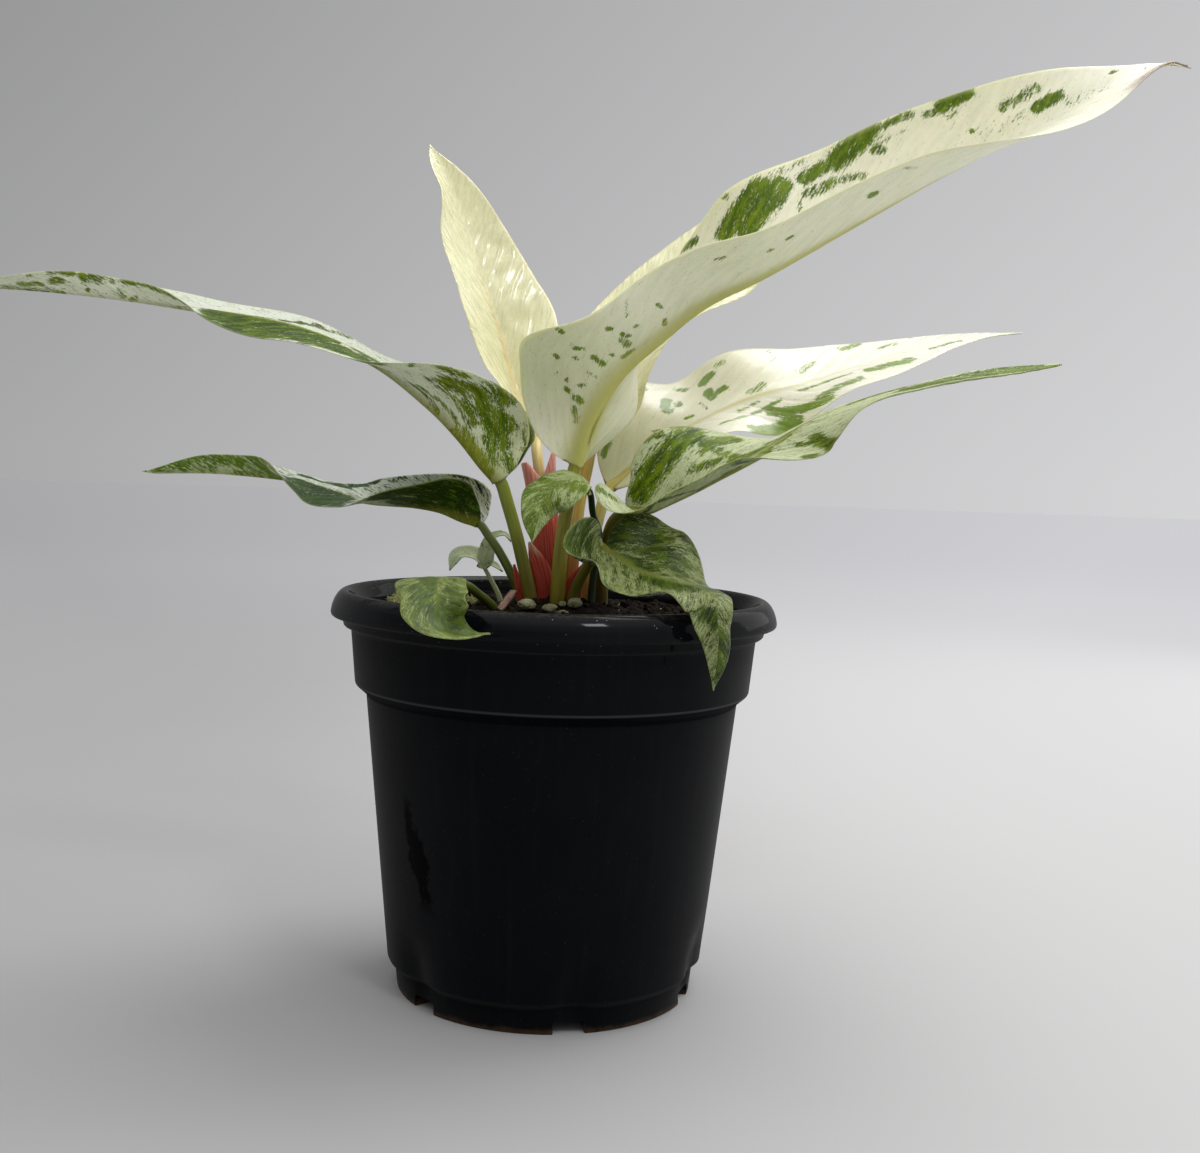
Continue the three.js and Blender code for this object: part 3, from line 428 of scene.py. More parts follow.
STROKES = {
    "leaf_upper_right": [
        (64, 16, 78, 20.5, 2.6, 1), (69.5, 13, 82, 18, 3.2, 1), (82, 8, 84.5, 12.5, 0.8, 0.6),
        (88, 17.5, 98, 17.5, 1.9, 1), (97, 17.5, 106.5, 19, 2.9, 1),
        (106.5, 19, 115.5, 17, 1.1, 0.8), (107, 15, 113, 14.5, 0.8, 0.6),
        (122.5, 15, 128.5, 15, 1.9, 0.95), (118.5, 15, 121, 14.5, 1, 0.7),
        (87, 13.5, 93.5, 13, 1.7, 0.7), (94.5, 13, 100.5, 10.5, 1.2, 0.65),
        (105.5, 14.5, 107, 13.5, 1.3, 0.7), (141.5, 4.5, 147.5, 4.5, 1.5, 0.95),
        (134.5, 8, 143.5, 8.5, 1.3, 0.65), (126, 6.5, 126, 6.5, 0.9, 1), (54.5, 23, 57, 21, 1, 0.9),
        (68, 23, 69, 23, 0.9, 0.8), (79.5, 21.5, 89.5, 21.5, 1.2, 0.45),
        (128.5, 4.5, 139, 4.5, 1.2, 0.35), (147.5, 2.5, 157.5, -0.5, 1.4, 0.3),
        (122.5, 12, 124.5, 12, 0.8, 0.6), (161, 4, 162, 4, 0.7, 0.7),
        (25, -22.5, 25, -21.5, 0.7, 0.9), (32, -15, 32.5, -14, 0.8, 1), (33.5, -10, 34, -8, 0.8, 1),
        (32.5, -8.5, 32.5, -6, 1.1, 0.8), (25.5, -10, 25.5, -6, 0.9, 1),
        (24.5, -15, 25.5, -14, 0.7, 0.9), (23, -13, 23, -12, 0.6, 0.7),
        (17.5, -10, 17.5, -10, 0.8, 0.9), (15.5, -9, 15.5, -8, 0.8, 0.9),
        (15, -6, 15, -4.5, 1, 0.9), (12.5, -5, 10.5, -3.5, 1.1, 0.65),
        (20.5, -16.5, 20.5, -15.5, 0.7, 0.8), (28.5, -7, 28.5, -6, 0.6, 0.8),
        (36.5, -9, 37, -9, 0.7, 0.9), (42, -3, 42.5, -4, 0.9, 0.9),
        (29.5, -3.5, 32.5, -3, 0.9, 0.9), (97, -11, 98, -11, 1.1, 1),
        (75.5, -12, 76.5, -12, 0.8, 0.9), (70.5, -10.5, 71.5, -10.5, 0.8, 0.9),
        (59, -13.5, 61, -13.5, 0.7, 0.7), (105.5, -17, 108, -15, 0.8, 0.5),
        (43.5, -10, 44, -8, 0.6, 0.7), (24.5, -17, 24.5, -16, 0.5, 0.5),
        (22, -7.5, 22, -4.5, 0.7, 0.5), (17.5, -13, 17.5, -13, 0.6, 0.6),
        (17.5, -7.5, 19, -5.5, 0.6, 0.5), (39.5, -17.5, 36.5, -12.5, 0.5, 0.45),
    ],
    "leaf_behind": [
        (40.5, -11.5, 50, -11.5, 0.9, 0.9), (49.5, -12.5, 62.5, -13.5, 1.3, 1),
        (4.5, -5, 3, -7, 1.2, 0.7),
    ],
    "leaf_right_middle": [
        (25, 20.5, 25.5, 19.5, 1.2, 1), (28.5, 13.5, 26.5, 9, 1.5, 1), (40, 15.5, 43, 16.5, 1.4, 1),
        (34, 18.5, 35.5, 17, 1.2, 0.8), (39.5, 11, 39, 7.5, 1.4, 1), (41, 8.5, 43, 8.5, 1.3, 0.9),
        (46, 18.5, 47, 18.5, 1.2, 0.7), (59.5, 17.5, 60, 17.5, 0.8, 0.9),
        (30.5, 12, 30.5, 10, 1.2, 0.7), (29, 3.5, 31, 3.5, 0.9, 0.9),
        (35.5, 7.5, 35.5, 3.5, 0.9, 0.6), (48, 2.5, 52, 3.5, 1.5, 0.6), (64, 6, 69, 8.5, 1.6, 0.6),
        (57.5, 12.5, 61, 15, 0.9, 0.5), (79.5, 12, 84, 13, 1.6, 0.75),
        (88.5, 7, 93.5, 7.5, 1.4, 0.6), (98, 11, 99, 9.5, 0.8, 0.6), (74, 17, 75.5, 16.5, 0.8, 0.7),
        (8.5, 10, 4.5, 7.5, 1, 0.9), (19.5, 4.5, 21, 3.5, 0.8, 0.8),
        (34, -8, 54.5, -3.5, 0.8, 0.85), (41.5, -13, 55, -12, 2.6, 1),
        (50, -6, 64.5, -12.5, 1.6, 1), (63, -10, 75, -9.5, 1.8, 0.8),
        (60, -2.5, 75, -3.5, 0.9, 0.8), (80, -5, 91.5, -6, 1.8, 0.9), (99, -3, 108, -2.5, 0.9, 0.8),
        (41.5, -3.5, 48.5, -2, 0.8, 0.7),
    ],
    "leaf_right_lower": [
        (5, 4.5, 14, 10, 3, 1), (14, 9.5, 24.5, 15.5, 2.8, 1), (26, 12.5, 33, 14, 2, 0.95),
        (27.5, 9.5, 34.5, 0, 1.4, 0.7), (20, 5, 27.5, 5, 1.2, 0.7), (24, 8.5, 26, 10.5, 0.7, 0.8),
        (14, 16.5, 16, 17, 0.9, 0.9), (16.5, 16.5, 18, 17, 0.8, 0.9),
        (21, 18.5, 25, 18.5, 0.8, 0.9), (7.5, 8, 3, 3, 1, 0.7), (32, -7, 39, -1, 2, 0.8),
        (20.5, -2, 31, -1.5, 1, 0.8), (14, -14, 20.5, -0.5, 0.9, 0.8),
        (40.5, 6, 62.5, -1, 1.6, 0.8), (62.5, -1, 76.5, -0.5, 1, 0.9),
        (45.5, -6.5, 47.5, -9, 1, 0.8), (49.5, -8.5, 51, -18, 2.2, 1),
        (44.5, -14.5, 45.5, -16, 1, 0.9), (78.5, -3, 90.5, -1, 1.9, 1),
        (90.5, -1, 105, 4.5, 1.6, 0.85), (105, 4.5, 111, 0, 1, 0.9), (42, -0.5, 46, -0.5, 0.7, 0.9),
        (77, -5, 95, -4, 3.6, 0.95), (95, -3, 112, -1.5, 3.6, 1), (76, 3, 95, 3, 2.4, 0.8),
        (92, 3, 110, 2, 2.4, 0.8), (30, 3, 60, 1, 1.6, 0.8),
        (3.5, -14.5, 4, -10.5, 0.7, 0.8), (4, -6, 12.5, -14.5, 0.9, 0.9),
    ],
    "leaf_upper_left": [
        (25.5, 11.5, 20.5, 11.5, 2.8, 1), (22.5, 11.5, 18.5, 15, 2.6, 0.95),
        (18.5, 9.5, 12.5, 10.5, 2.8, 1), (20.5, 7.5, 15.5, 6.5, 2, 0.9), (13, 8, 8, 7, 2.4, 1),
        (10.5, 5, 4.5, 3, 1.8, 0.85), (4.5, 6, 1, 4.5, 1.4, 0.9),
        (21.5, 16.5, 18.5, 17.5, 1.4, 0.8), (29, 10.5, 25.5, 10.5, 1.2, 0.7),
        (28.5, 16.5, 25.5, 15.5, 1, 0.95), (27, 9, 15.5, 3.5, 1, 0.6), (14, -17, 12.5, -18, 1.6, 1),
        (12.5, -18, 5.5, -14, 2.2, 1), (4, -12, 2, -8, 1.2, 0.9), (11.5, 14.5, 4.5, 10, 0.8, 0.7),
        (35.5, 5, 23, 1, 0.7, 0.8), (30.5, 5, 13, 1, 0.8, 0.8), (16, 1, 3.5, 0, 1.6, 0.9),
        (33.5, 15, 33.5, 17, 0.7, 0.8), (83, 6, 75, 5, 3.4, 1.2), (84, 3, 62, 3.5, 3.6, 1.2),
        (62, 4, 46, 8, 4, 1.15), (76, 9, 60, 9, 2.6, 1.2), (84, 9.5, 50, 11, 3, 1.2),
        (74, 6.5, 66.5, 8.5, 3, 1.2),
        (73.5, -1, 60, -11, 1.4, 0.9), (67, 5, 55, 1.5, 2.6, 1.15), (60, -9, 53, -14.5, 1.2, 0.7),
        (54, 5, 41, 16, 2.6, 1.1), (48, 0.5, 39.5, 4, 2, 1), (74, 11.5, 70, 13, 0.8, 0.8),
        (60, 15, 53, 11.5, 1.2, 0.7), (130.5, 3.5, 128.5, 3.5, 1.2, 0.9),
        (135, 1, 122.5, 0, 2, 0.6), (123, 4.5, 121, 5, 1.2, 0.8), (122.5, 8, 118, 7, 1, 0.9),
        (127.5, 7.5, 127, 7.5, 0.8, 0.8), (127, 4, 126, 3.5, 1, 0.9), (115, 6, 112, 5.5, 1.8, 0.9),
        (112, 5.5, 109, 4.5, 1, 0.6), (121.5, -1.5, 117, 0, 1.4, 0.7),
        (107.5, 2.5, 106.5, 1.5, 1, 0.7), (115, 2, 115, 1.5, 0.6, 0.8),
        (104.5, 0.5, 103, 1.5, 0.8, 0.6), (106, 5.5, 99, 6, 1.2, 0.9), (99, 6, 93, 7, 1.3, 0.9),
        (93, 7, 88, 8, 0.7, 0.9), (100.5, -1.5, 88, 0, 1, 0.5), (95.5, -1.5, 86.5, 5, 0.8, 0.6),
    ],
    "leaf_lower_left": [
        (24.5, 10.5, 15.5, 12, 3.2, 1), (15.5, 11, 5, 9, 3.4, 1), (21, 4.5, 3.5, 4.5, 4, 1),
        (11.5, 6, 0.5, 2.5, 3.6, 1), (51, 3, 36, 4, 3.4, 0.97), (49, 8.5, 37, 8.5, 3.6, 0.97),
        (49, 10, 43.5, 9.5, 3, 1), (45.5, 4.5, 39, 6.5, 2.4, 0.95),
        (46, 11, 34.5, 13, 1.6, 0.9), (38, 6, 31, 7, 1.6, 0.5), (69.5, 4, 65, 3.5, 2, 0.6),
        (86, 1.5, 73, 3, 2.4, 0.45), (75.5, 4, 59.5, 5, 2, 0.45), (65, 1.5, 55, 0, 2.4, 0.5),
        (81, 3, 75.5, 4, 1.6, 0.5), (59.5, 4, 52.5, 0, 1.2, 0.7), (52.5, 4.5, 40.5, 1.5, 1.4, 0.85),
        (50.5, -6.5, 38, -6.5, 1.2, 0.9), (40.5, -8, 30, -8, 1, 0.8),
        (39.5, -8.5, 38, -8.5, 0.8, 0.9), (24.5, -7, 22, -7.5, 0.9, 0.6),
        (11.5, -11, 10, -11.5, 0.9, 0.8), (9.5, -12, 7, -10.5, 1, 0.4),
    ],
    "leaf_front_right": [
        (2, 4, 9.5, 10, 3, 1), (7, 8.5, 9.5, 10, 2.6, 1), (1, 3, 3, 5.5, 1.8, 1),
        (2, -2, 2, 3.5, 1.2, 0.9), (8.5, 5.5, 19.5, 8, 2, 0.8), (7, -0.5, 18, 3, 1.6, 0.7),
        (18, -0.5, 34, -1.5, 2.4, 0.9), (34, -1.5, 37, 6.5, 2.6, 0.9),
        (44.5, -4, 47.5, 0, 1.8, 0.9), (50.5, -1, 54, 2, 2.2, 0.9), (56, 0, 59, 1.5, 2, 0.8),
        (16, 14.5, 18.5, 13.5, 1.6, 0.8), (6, 10.5, 8.5, 14.5, 1.2, 0.6),
        (2, -13, 2, -10.5, 1.2, 0.95), (3.5, -15, 3, -12.5, 1.2, 0.95),
        (2.5, -9.5, 2.5, -7, 1, 0.9), (5, -14, 4, -11.5, 1.2, 0.9), (4.5, -7.5, 7, -8.5, 1, 0.8),
        (14, -13.5, 20, -14, 0.9, 0.7), (10.5, 11, 14.5, 11, 1, 0.7), (15, 6, 22.5, 5.5, 1.8, 0.7),
        (3.5, 9, 4, 10.5, 0.9, 0.9), (3, -0.5, 11, 2.5, 0.8, 0.9),
    ],
    "leaf_centre": [
        (17.5, -4.5, 17.5, 0, 3.2, 0.45), (20.5, -4, 24.5, -0.5, 2.6, 0.5),
        (14, -6, 12.5, 0.5, 1.8, 0.6), (16, 0.5, 20, 1.5, 1.4, 0.5), (11, 2, 10, 6, 1.4, 0.7),
        (28, -0.5, 25.5, 0, 1.6, 0.8), (15.5, 3.5, 17.5, 3, 0.7, 0.9), (9, 2, 6.5, 4.5, 0.9, 0.7),
    ],
    "leaf_front_left": [
        (20, -5, 24.5, -3, 2, 0.8), (11, -3.5, 20, 0.5, 2.4, 0.8), (26.5, -4, 30, -1, 1.8, 0.7),
        (25, -0.5, 33, 1.5, 2, 0.75), (20.5, 3, 30, 5.5, 1.6, 0.7), (32.5, -1.5, 38, 1.5, 2.4, 0.8),
        (29.5, 3, 38, 4.5, 1.6, 0.8), (28, -6, 32, -5, 1.4, 0.5),
    ],
}

SPOT_WIDTH, SPOT_SHRINK = 1.0, 0.75
FAR_AWAY = 99


def stroke_density(blade, base, strokes, full):
    """Green from 0 to 1 over a blade: base, and up to full along strokes."""
    added = np.zeros(blade.across.shape)
    for u0, v0, u1, v1, width, amount in strokes:
        run = np.array([u1 - u0, v1 - v0])
        du, dv = blade.u - u0, blade.across - v0
        w = np.clip((du * run[0] + dv * run[1]) / max(run @ run, 0.01), 0, 1)
        away = np.hypot(du - w * run[0], dv - w * run[1])
        # A stroke stays on its own half of the blade
        away = np.where(blade.across * (v0 + v1) < 0, FAR_AWAY, away)
        if width < SPOT_WIDTH:
            width = SPOT_SHRINK * width
        added = np.maximum(added, amount * (1 - smoothstep(0.45 * width, 1.45 * width + 0.15, away)))
    return base + (full - base) * added


# The longest leaf ends in a thin drip tip
THREAD_TIPS = {
    "leaf_upper_right": [(133, -34, 232.3), (137, -34, 233.1), (140.5, -34, 233.6), (143.8, -34.2, 232.9)],
}
THREAD_LENGTH, THREAD_STEPS, THREAD_SIDES = 9, 24, 8
PETIOLE_STEPS, PETIOLE_SIDES = 28, 20
# The petiole runs on in the rib over a share of the blade's length
RUN_ON_STEPS, RUN_ON_FROM, RUN_ON = 10, 0.012, 0.16
RIB_REACH, RIB_END_RADIUS = 0.75, 0.35
# How far lateral veins run along the midrib for each mm across, and how wide they are
VEIN_LEAN, VEIN_WIDTH = 1.4, 0.7
EDGE_HALF_THICKNESS, BLADE_HALF_THICKNESS = 0.06, 0.22
# Material slots of a leaf: the upper face has 0 and the under face has 1
PETIOLE_SLOT = 2


def rib_radius(leaf, s):
    neck = leaf.petiole[1]
    radius = RIB_END_RADIUS + (neck - RIB_END_RADIUS) * (1 - s / RIB_REACH)
    return np.where(s < RIB_REACH, radius, RIB_END_RADIUS * (1 - s) / (1 - RIB_REACH))


def add_blade(build, name, leaf, blade, look):
    """Blade with its rib, lateral veins sunk a little into the upper face and swells between them."""
    normals = blade.normals()
    away, outer = np.abs(blade.across), np.abs(blade.t)[None, :]
    radius = rib_radius(leaf, blade.s)[:, None]
    phase = (blade.u - VEIN_LEAN * away) / look.vein_gap
    phase = phase + 0.12 * noise_at(blade.grid, 9, 3)
    groove = np.exp(-(((phase - np.round(phase)) * look.vein_gap / VEIN_WIDTH) ** 2))
    inner = smoothstep(0.8, 3, away) * (1 - smoothstep(0.82, 0.97, outer))
    swell = look.swell * inner * (0.5 - groove)
    ripple = look.ripple * noise_at(blade.grid, look.ripple_size, 1) * smoothstep(0.5, 4, away)
    thinner = BLADE_HALF_THICKNESS - EDGE_HALF_THICKNESS
    edge = smoothstep(1, 0.93, outer) * thinner + EDGE_HALF_THICKNESS
    rib = np.exp(-((away / (0.8 * radius + 0.15)) ** 2))
    scorch = smoothstep(0.87, 0.92, blade.s)[:, None] * smoothstep(0.5, 0.95, -blade.t)[None, :]
    add_sheet(
        build, blade.grid + normals * (swell + ripple)[..., None], normals,
        edge + 0.12 * rib * np.minimum(radius, 1), edge + 1.25 * radius * rib,
        leaf_uv=blade.uv(),
        rib=np.exp(-((away / (1.25 * radius + 0.2)) ** 2)) * np.minimum(1, radius + 0.1),
        vein=groove * inner,
        green=stroke_density(blade, look.green, STROKES.get(name, []), look.full_green),
        margin=np.broadcast_to(smoothstep(0.94, 1, outer), away.shape),
        tip=scorch * (name in THREAD_TIPS),
    )


def add_petiole(build, leaf, blade):
    foot, neck = leaf.petiole
    shares = np.linspace(0, 1, PETIOLE_STEPS)
    stem, stem_length = path_points(leaf.path, 0, leaf.blade_from, shares)
    into = np.linspace(RUN_ON_FROM, RUN_ON, RUN_ON_STEPS)
    inside, _ = path_points(leaf.path, leaf.blade_from, len(leaf.path) - 1, into)
    along = directions(np.vstack([stem[-1:], inside]))[1:]
    level = unit(np.cross(np.broadcast_to(leaf.face, along.shape), along))
    sink = neck * 0.5 * np.minimum(1, into / 0.06)
    inside = inside - np.cross(along, level) * sink[:, None]
    radii = np.concatenate([foot + (neck - foot) * shares, neck * (1 - 0.75 * into / RUN_ON)])
    run = np.concatenate([shares * stem_length, stem_length + into * blade.length])
    around = np.tile(np.arange(PETIOLE_SIDES) / PETIOLE_SIDES * 2 * math.pi * neck, len(run))
    uv = np.stack([along_tube(run, PETIOLE_SIDES), np.concatenate([around, [0, 0]])], axis=-1)
    vertices, faces = tube_parts(np.vstack([stem, inside]), radii, PETIOLE_SIDES)
    build.add(vertices, faces, PETIOLE_SLOT, leaf_uv=uv, rib=1.0)


def add_thread(build, path, start):
    """Thin drip tip whose distance along the leaf goes on from start."""
    line, _ = path_points(path, 0, len(path) - 1, np.linspace(0, 1, THREAD_STEPS))
    vertices, faces = tube_parts(line, np.linspace(0.42, 0.12, THREAD_STEPS), THREAD_SIDES)
    run = along_tube(start + np.linspace(0, THREAD_LENGTH, THREAD_STEPS), THREAD_SIDES)
    build.add(vertices, faces, leaf_uv=np.stack([run, run * 0], axis=-1),
              tip=smoothstep(4, THREAD_LENGTH, run - start))


def leaf_piece(name, leaf, look):
    blade = Blade(leaf)
    build = Build()
    add_blade(build, name, leaf, blade, look)
    add_petiole(build, leaf, blade)
    if name in THREAD_TIPS:
        add_thread(build, THREAD_TIPS[name], blade.length)
    return build.piece(name + "_piece", look.materials(name.removeprefix("leaf_")), name)


# Materials

class Signal:
    """A number that shader nodes work out, written so that sums and products of signals read as such."""

    def __init__(self, nodes, socket):
        self.nodes, self.socket = nodes, socket

    def __add__(self, other):
        return self.nodes.math("ADD", self, other)

    def __sub__(self, other):
        return self.nodes.math("SUBTRACT", self, other)

    def __rsub__(self, other):
        return self.nodes.math("SUBTRACT", other, self)

    def __mul__(self, other):
        return self.nodes.math("MULTIPLY", self, other)

    def __truediv__(self, other):
        return self.nodes.math("DIVIDE", self, other)

    def __abs__(self):
        return self.nodes.math("ABSOLUTE", self)

    __radd__, __rmul__ = __add__, __mul__

    def step(self, low, high):
        """0 at low, 1 at high and smooth between them. Low may be the greater of the two."""
        bounds = {"Value": self, "From Min": low, "From Max": high}
        return self.nodes.signal("ShaderNodeMapRange", bounds, interpolation_type="SMOOTHSTEP")

    def at_least(self, other):
        return self.nodes.math("MAXIMUM", self, other)

    def at_most(self, other):
        return self.nodes.math("MINIMUM", self, other)


class Nodes:
    """Short names for building a node tree."""

    def __init__(self, tree):
        self.tree = tree

    def new(self, kind, inputs=(), **settings):
        node = self.tree.nodes.new(kind)
        for key, value in settings.items():
            setattr(node, key, value)
        for key, value in dict(inputs).items():
            self.put(value, node.inputs[key])
        return node

    def put(self, value, socket):
        if isinstance(value, Signal):
            value = value.socket
        if isinstance(value, bpy.types.NodeSocket):
            self.tree.links.new(value, socket)
        else:
            socket.default_value = value

    def signal(self, kind, inputs=(), output=0, **settings):
        return Signal(self, self.new(kind, inputs, **settings).outputs[output])

    def math(self, operation, a, b=0.0, clamp=False):
        return self.signal("ShaderNodeMath", {0: a, 1: b}, operation=operation, use_clamp=clamp)

    def mix(self, a, b, factor):
        return self.new("ShaderNodeMix", {0: factor, 6: a, 7: b}, data_type="RGBA").outputs[2]

    def dimmed(self, colour, value, saturation=1.0):
        inputs = {"Value": value, "Saturation": saturation, "Color": colour}
        return self.new("ShaderNodeHueSaturation", inputs).outputs[0]

    def noise(self, vector, scale=1.0, detail=3.0, roughness=0.55):
        inputs = {"Vector": vector, "Scale": scale, "Detail": detail, "Roughness": roughness}
        return self.signal("ShaderNodeTexNoise", inputs)

    def cells(self, vector, scale, feature="F1"):
        inputs = {"Vector": vector, "Scale": scale}
        return self.signal("ShaderNodeTexVoronoi", inputs, "Distance", feature=feature)

    def vector(self, x, y, z):
        return self.new("ShaderNodeCombineXYZ", {0: x, 1: y, 2: z}).outputs[0]

    def split(self, vector):
        return [Signal(self, output) for output in self.new("ShaderNodeSeparateXYZ", {0: vector}).outputs]

    def coordinates(self, kind):
        return self.new("ShaderNodeTexCoord").outputs[kind]


class Skin(Nodes):
    """A material and its nodes."""

    def __init__(self, name):
        self.material = bpy.data.materials.new(name)
        self.material.use_nodes = True
        super().__init__(self.material.node_tree)
        self.shader = self.tree.nodes["Principled BSDF"]

    def attribute(self, name):
        return self.signal("ShaderNodeAttribute", (), "Fac", attribute_name=name)

    def place(self):
        """Position on the object in mm."""
        inputs = {0: self.coordinates("Object"), 1: (1 / MM, 1 / MM, 1 / MM)}
        return self.new("ShaderNodeVectorMath", inputs, operation="MULTIPLY").outputs[0]

    def leaf_place(self):
        """Distances along a blade and across it in mm."""
        return self.split(self.new("ShaderNodeUVMap", uv_map="leaf_uv").outputs[0])[:2]

    def bump(self, height, depth):
        """Bump of a height that spans 0 to 1 over depth mm."""
        node = self.new("ShaderNodeBump", {"Height": height, "Distance": depth * MM, "Strength": 1.0})
        self.put(node.outputs[0], self.shader.inputs["Normal"])

    def set(self, **values):
        self.shader.inputs["Subsurface Radius"].default_value = THROUGH_RADIUS
        names = {
            "colour": "Base Color", "roughness": "Roughness", "coat": "Coat Weight",
            "coat_roughness": "Coat Roughness", "specular": "Specular IOR Level",
            "subsurface": "Subsurface Weight", "subsurface_scale": "Subsurface Scale",
            "sheen": "Sheen Weight",
        }
        for key, value in values.items():
            self.put(value, self.shader.inputs[names[key]])
        return self.material


def srgb(red, green, blue):
    """Colour from its 0 to 255 screen values."""
    def linear(value):
        value = value / 255
        return value / 12.92 if value <= 0.04045 else ((value + 0.055) / 1.055) ** 2.4
    return (linear(red), linear(green), linear(blue), 1)


# How far red, green and blue light spreads in a leaf, as shares of the subsurface scale
THROUGH_RADIUS = (0.85, 1.0, 0.65)
LEAF_THROUGH, SHEATH_THROUGH = 0.45 * MM, 1.0 * MM

BASE_TINT = srgb(176, 184, 62)
SCORCH = srgb(122, 88, 74)
CREAM, IVORY = srgb(238, 234, 194), srgb(247, 243, 226)
PEACH, GREY_GREEN = srgb(232, 212, 150), srgb(176, 184, 156)
GREEN, FOREST = srgb(112, 134, 6), srgb(56, 78, 0)
# Duller, darker greens for under faces: partly the under face's own duller colour, partly painted shade for
# faces turned from the light
DULL_SHADED_GREEN, DARK_DULL_SHADED_GREEN = srgb(74, 98, 22), srgb(24, 42, 4)
OLIVE, YELLOW_OLIVE = srgb(142, 146, 44), srgb(194, 192, 84)


def leaf_material(name, seed, pale, green, dark, rib, lean, gloss, speckle, grain=0.06, coat=0.0,
                  rib_width=1.0, base_tint=0.0, tint_reach=26.0, soft=0.07, through=0.35, blister=0.0,
                  painted_shade_reach=0.0, mark_size=1.0, shine=0.3):
    """Leaf skin: pale ground marbled with green along the lateral veins. Lean is how far the veins
    run on along the midrib for each mm across. Painted shade darkens the green marks near the blade's base,
    out to a reach given in mm."""
    n = Skin(name)
    u, v = n.leaf_place()
    away = abs(v)
    run = u - away * lean
    # The halves of a leaf, and leaves of different seeds, are marbled differently
    far = away + (n.math("SIGN", v) * 6.0 + seed * 13.0)

    def marks(along, across, shift, detail=4):
        stretched = n.vector(run * (along / mark_size), far * (across / mark_size), seed + shift)
        return n.noise(stretched, 1, detail, 0.6)

    blotch, streaks, fine = marks(0.34, 0.16, 0), marks(1.25, 0.55, 3), marks(3.6, 2.0, 7)
    field = (blotch * 0.22 + streaks * 0.4 + fine * 0.38 - 0.5) * 3.9 + 0.5
    density = n.attribute("green")
    level = field + density - 1.0 - n.attribute("vein") * 0.16
    specks = marks(1.7, 1.1, 17, 2).step(0.71 - 0.07 * speckle, 0.74 - 0.07 * speckle)
    specks = specks * density.step(0.0, 0.1)
    shade = marks(0.3, 0.22, 29) * 0.6 + fine * 0.4
    dark_share = shade.step(0.4, 0.58)
    # Painted shade: the green marks near the blade's base turn darker
    if painted_shade_reach:
        painted_shade_zone = u.step(painted_shade_reach + 8, painted_shade_reach - 8) * streaks.step(0.64, 0.54)
        dark_share = (dark_share * 0.35).at_least(painted_shade_zone * 0.85)
    ground = n.mix(pale, n.mix(pale, green, 0.2), shade.step(0.3, 0.75))
    ground = n.mix(ground, n.mix(pale, BASE_TINT, 0.6), u.step(tint_reach, 0.0) * base_tint)
    colour = n.mix(ground, n.mix(pale, green, 0.55), level.step(-0.22, 0.02) * 0.6)
    colour = n.mix(colour, n.mix(green, dark, dark_share), level.step(-soft, soft).at_least(specks))
    colour = n.mix(colour, rib, n.math("POWER", n.attribute("rib"), 1 / rib_width) * 0.85)
    colour = n.mix(colour, n.mix(colour, n.mix(rib, pale, 0.4), 0.5), n.attribute("margin"))
    colour = n.mix(colour, SCORCH, n.attribute("tip") * 0.8)
    height = n.cells(n.vector(u, v, 0.0), 2.0) * 0.5 + fine * 0.9
    if blister:
        height = height - n.cells(n.vector(run * 0.75, far * 0.42, 0.0), 1.0, "SMOOTH_F1") * blister
    n.bump(height, grain)
    return n.set(colour=colour, roughness=fine * 0.16 + (gloss - 0.08), subsurface=through,
                 subsurface_scale=LEAF_THROUGH, specular=shine, coat=coat, coat_roughness=0.14)


def stalk_material(name, seed, low, high):
    """Petiole skin, low colour at the foot and high colour at the blade."""
    n = Skin(name)
    u, v = n.leaf_place()
    streaks = n.noise(n.vector(u * 0.08, v * 1.4, seed), 1, 4, 0.6)
    colour = n.mix(low, high, u.step(2.0, 30.0))
    colour = n.mix(colour, n.dimmed(colour, 0.7), streaks.step(0.4, 0.7))
    n.bump(streaks, 0.12)
    return n.set(colour=colour, roughness=streaks * 0.2 + 0.3, subsurface=0.25, subsurface_scale=0.8 * MM)


@dataclass
class Look:
    """Colours and relief of a leaf. The upper face, the under face and the petiole each have a
    colour set: pale ground, green, dark green and rib, or the petiole's foot and neck."""
    seed: int
    green: float
    upper: tuple
    under: tuple
    petiole: tuple
    full_green: float = 0.86
    mark_size: float = 1.0
    speckle: float = 0.5
    upper_tint: float = 0.0
    under_tint: float = 0.7
    tint_reach: float = 26.0
    # Reach in mm of painted shade that darkens the under face's green marks near the base
    painted_shade_reach: float = 0.0
    rib_band: float = 1.0
    gloss: float = 0.4
    shine: float = 0.3
    coat: float = 0.0
    grain: float = 0.06
    through: float = 0.35
    vein_gap: float = 7.0
    swell: float = 0.16
    ripple: float = 0.22
    ripple_size: float = 14.0
    blister: float = 0.0

    def materials(self, name):
        shared = dict(speckle=self.speckle, through=self.through, mark_size=self.mark_size,
                      shine=self.shine)
        return [
            leaf_material(name + "_upper", self.seed, *self.upper, VEIN_LEAN, self.gloss, grain=self.grain,
                          coat=self.coat, rib_width=0.35, blister=self.blister, base_tint=self.upper_tint,
                          **shared),
            leaf_material(name + "_under", self.seed, *self.under, VEIN_LEAN, self.gloss + 0.12, soft=0.1,
                          rib_width=self.rib_band, painted_shade_reach=self.painted_shade_reach, base_tint=self.under_tint,
                          tint_reach=self.tint_reach, **shared),
            stalk_material(name + "_stalk", self.seed, *self.petiole),
        ]


# Under face colours of the small front leaves: partly their own duller colour, partly painted shade
DULL_SHADED_UNDER = (GREY_GREEN, DULL_SHADED_GREEN, DARK_DULL_SHADED_GREEN, OLIVE)

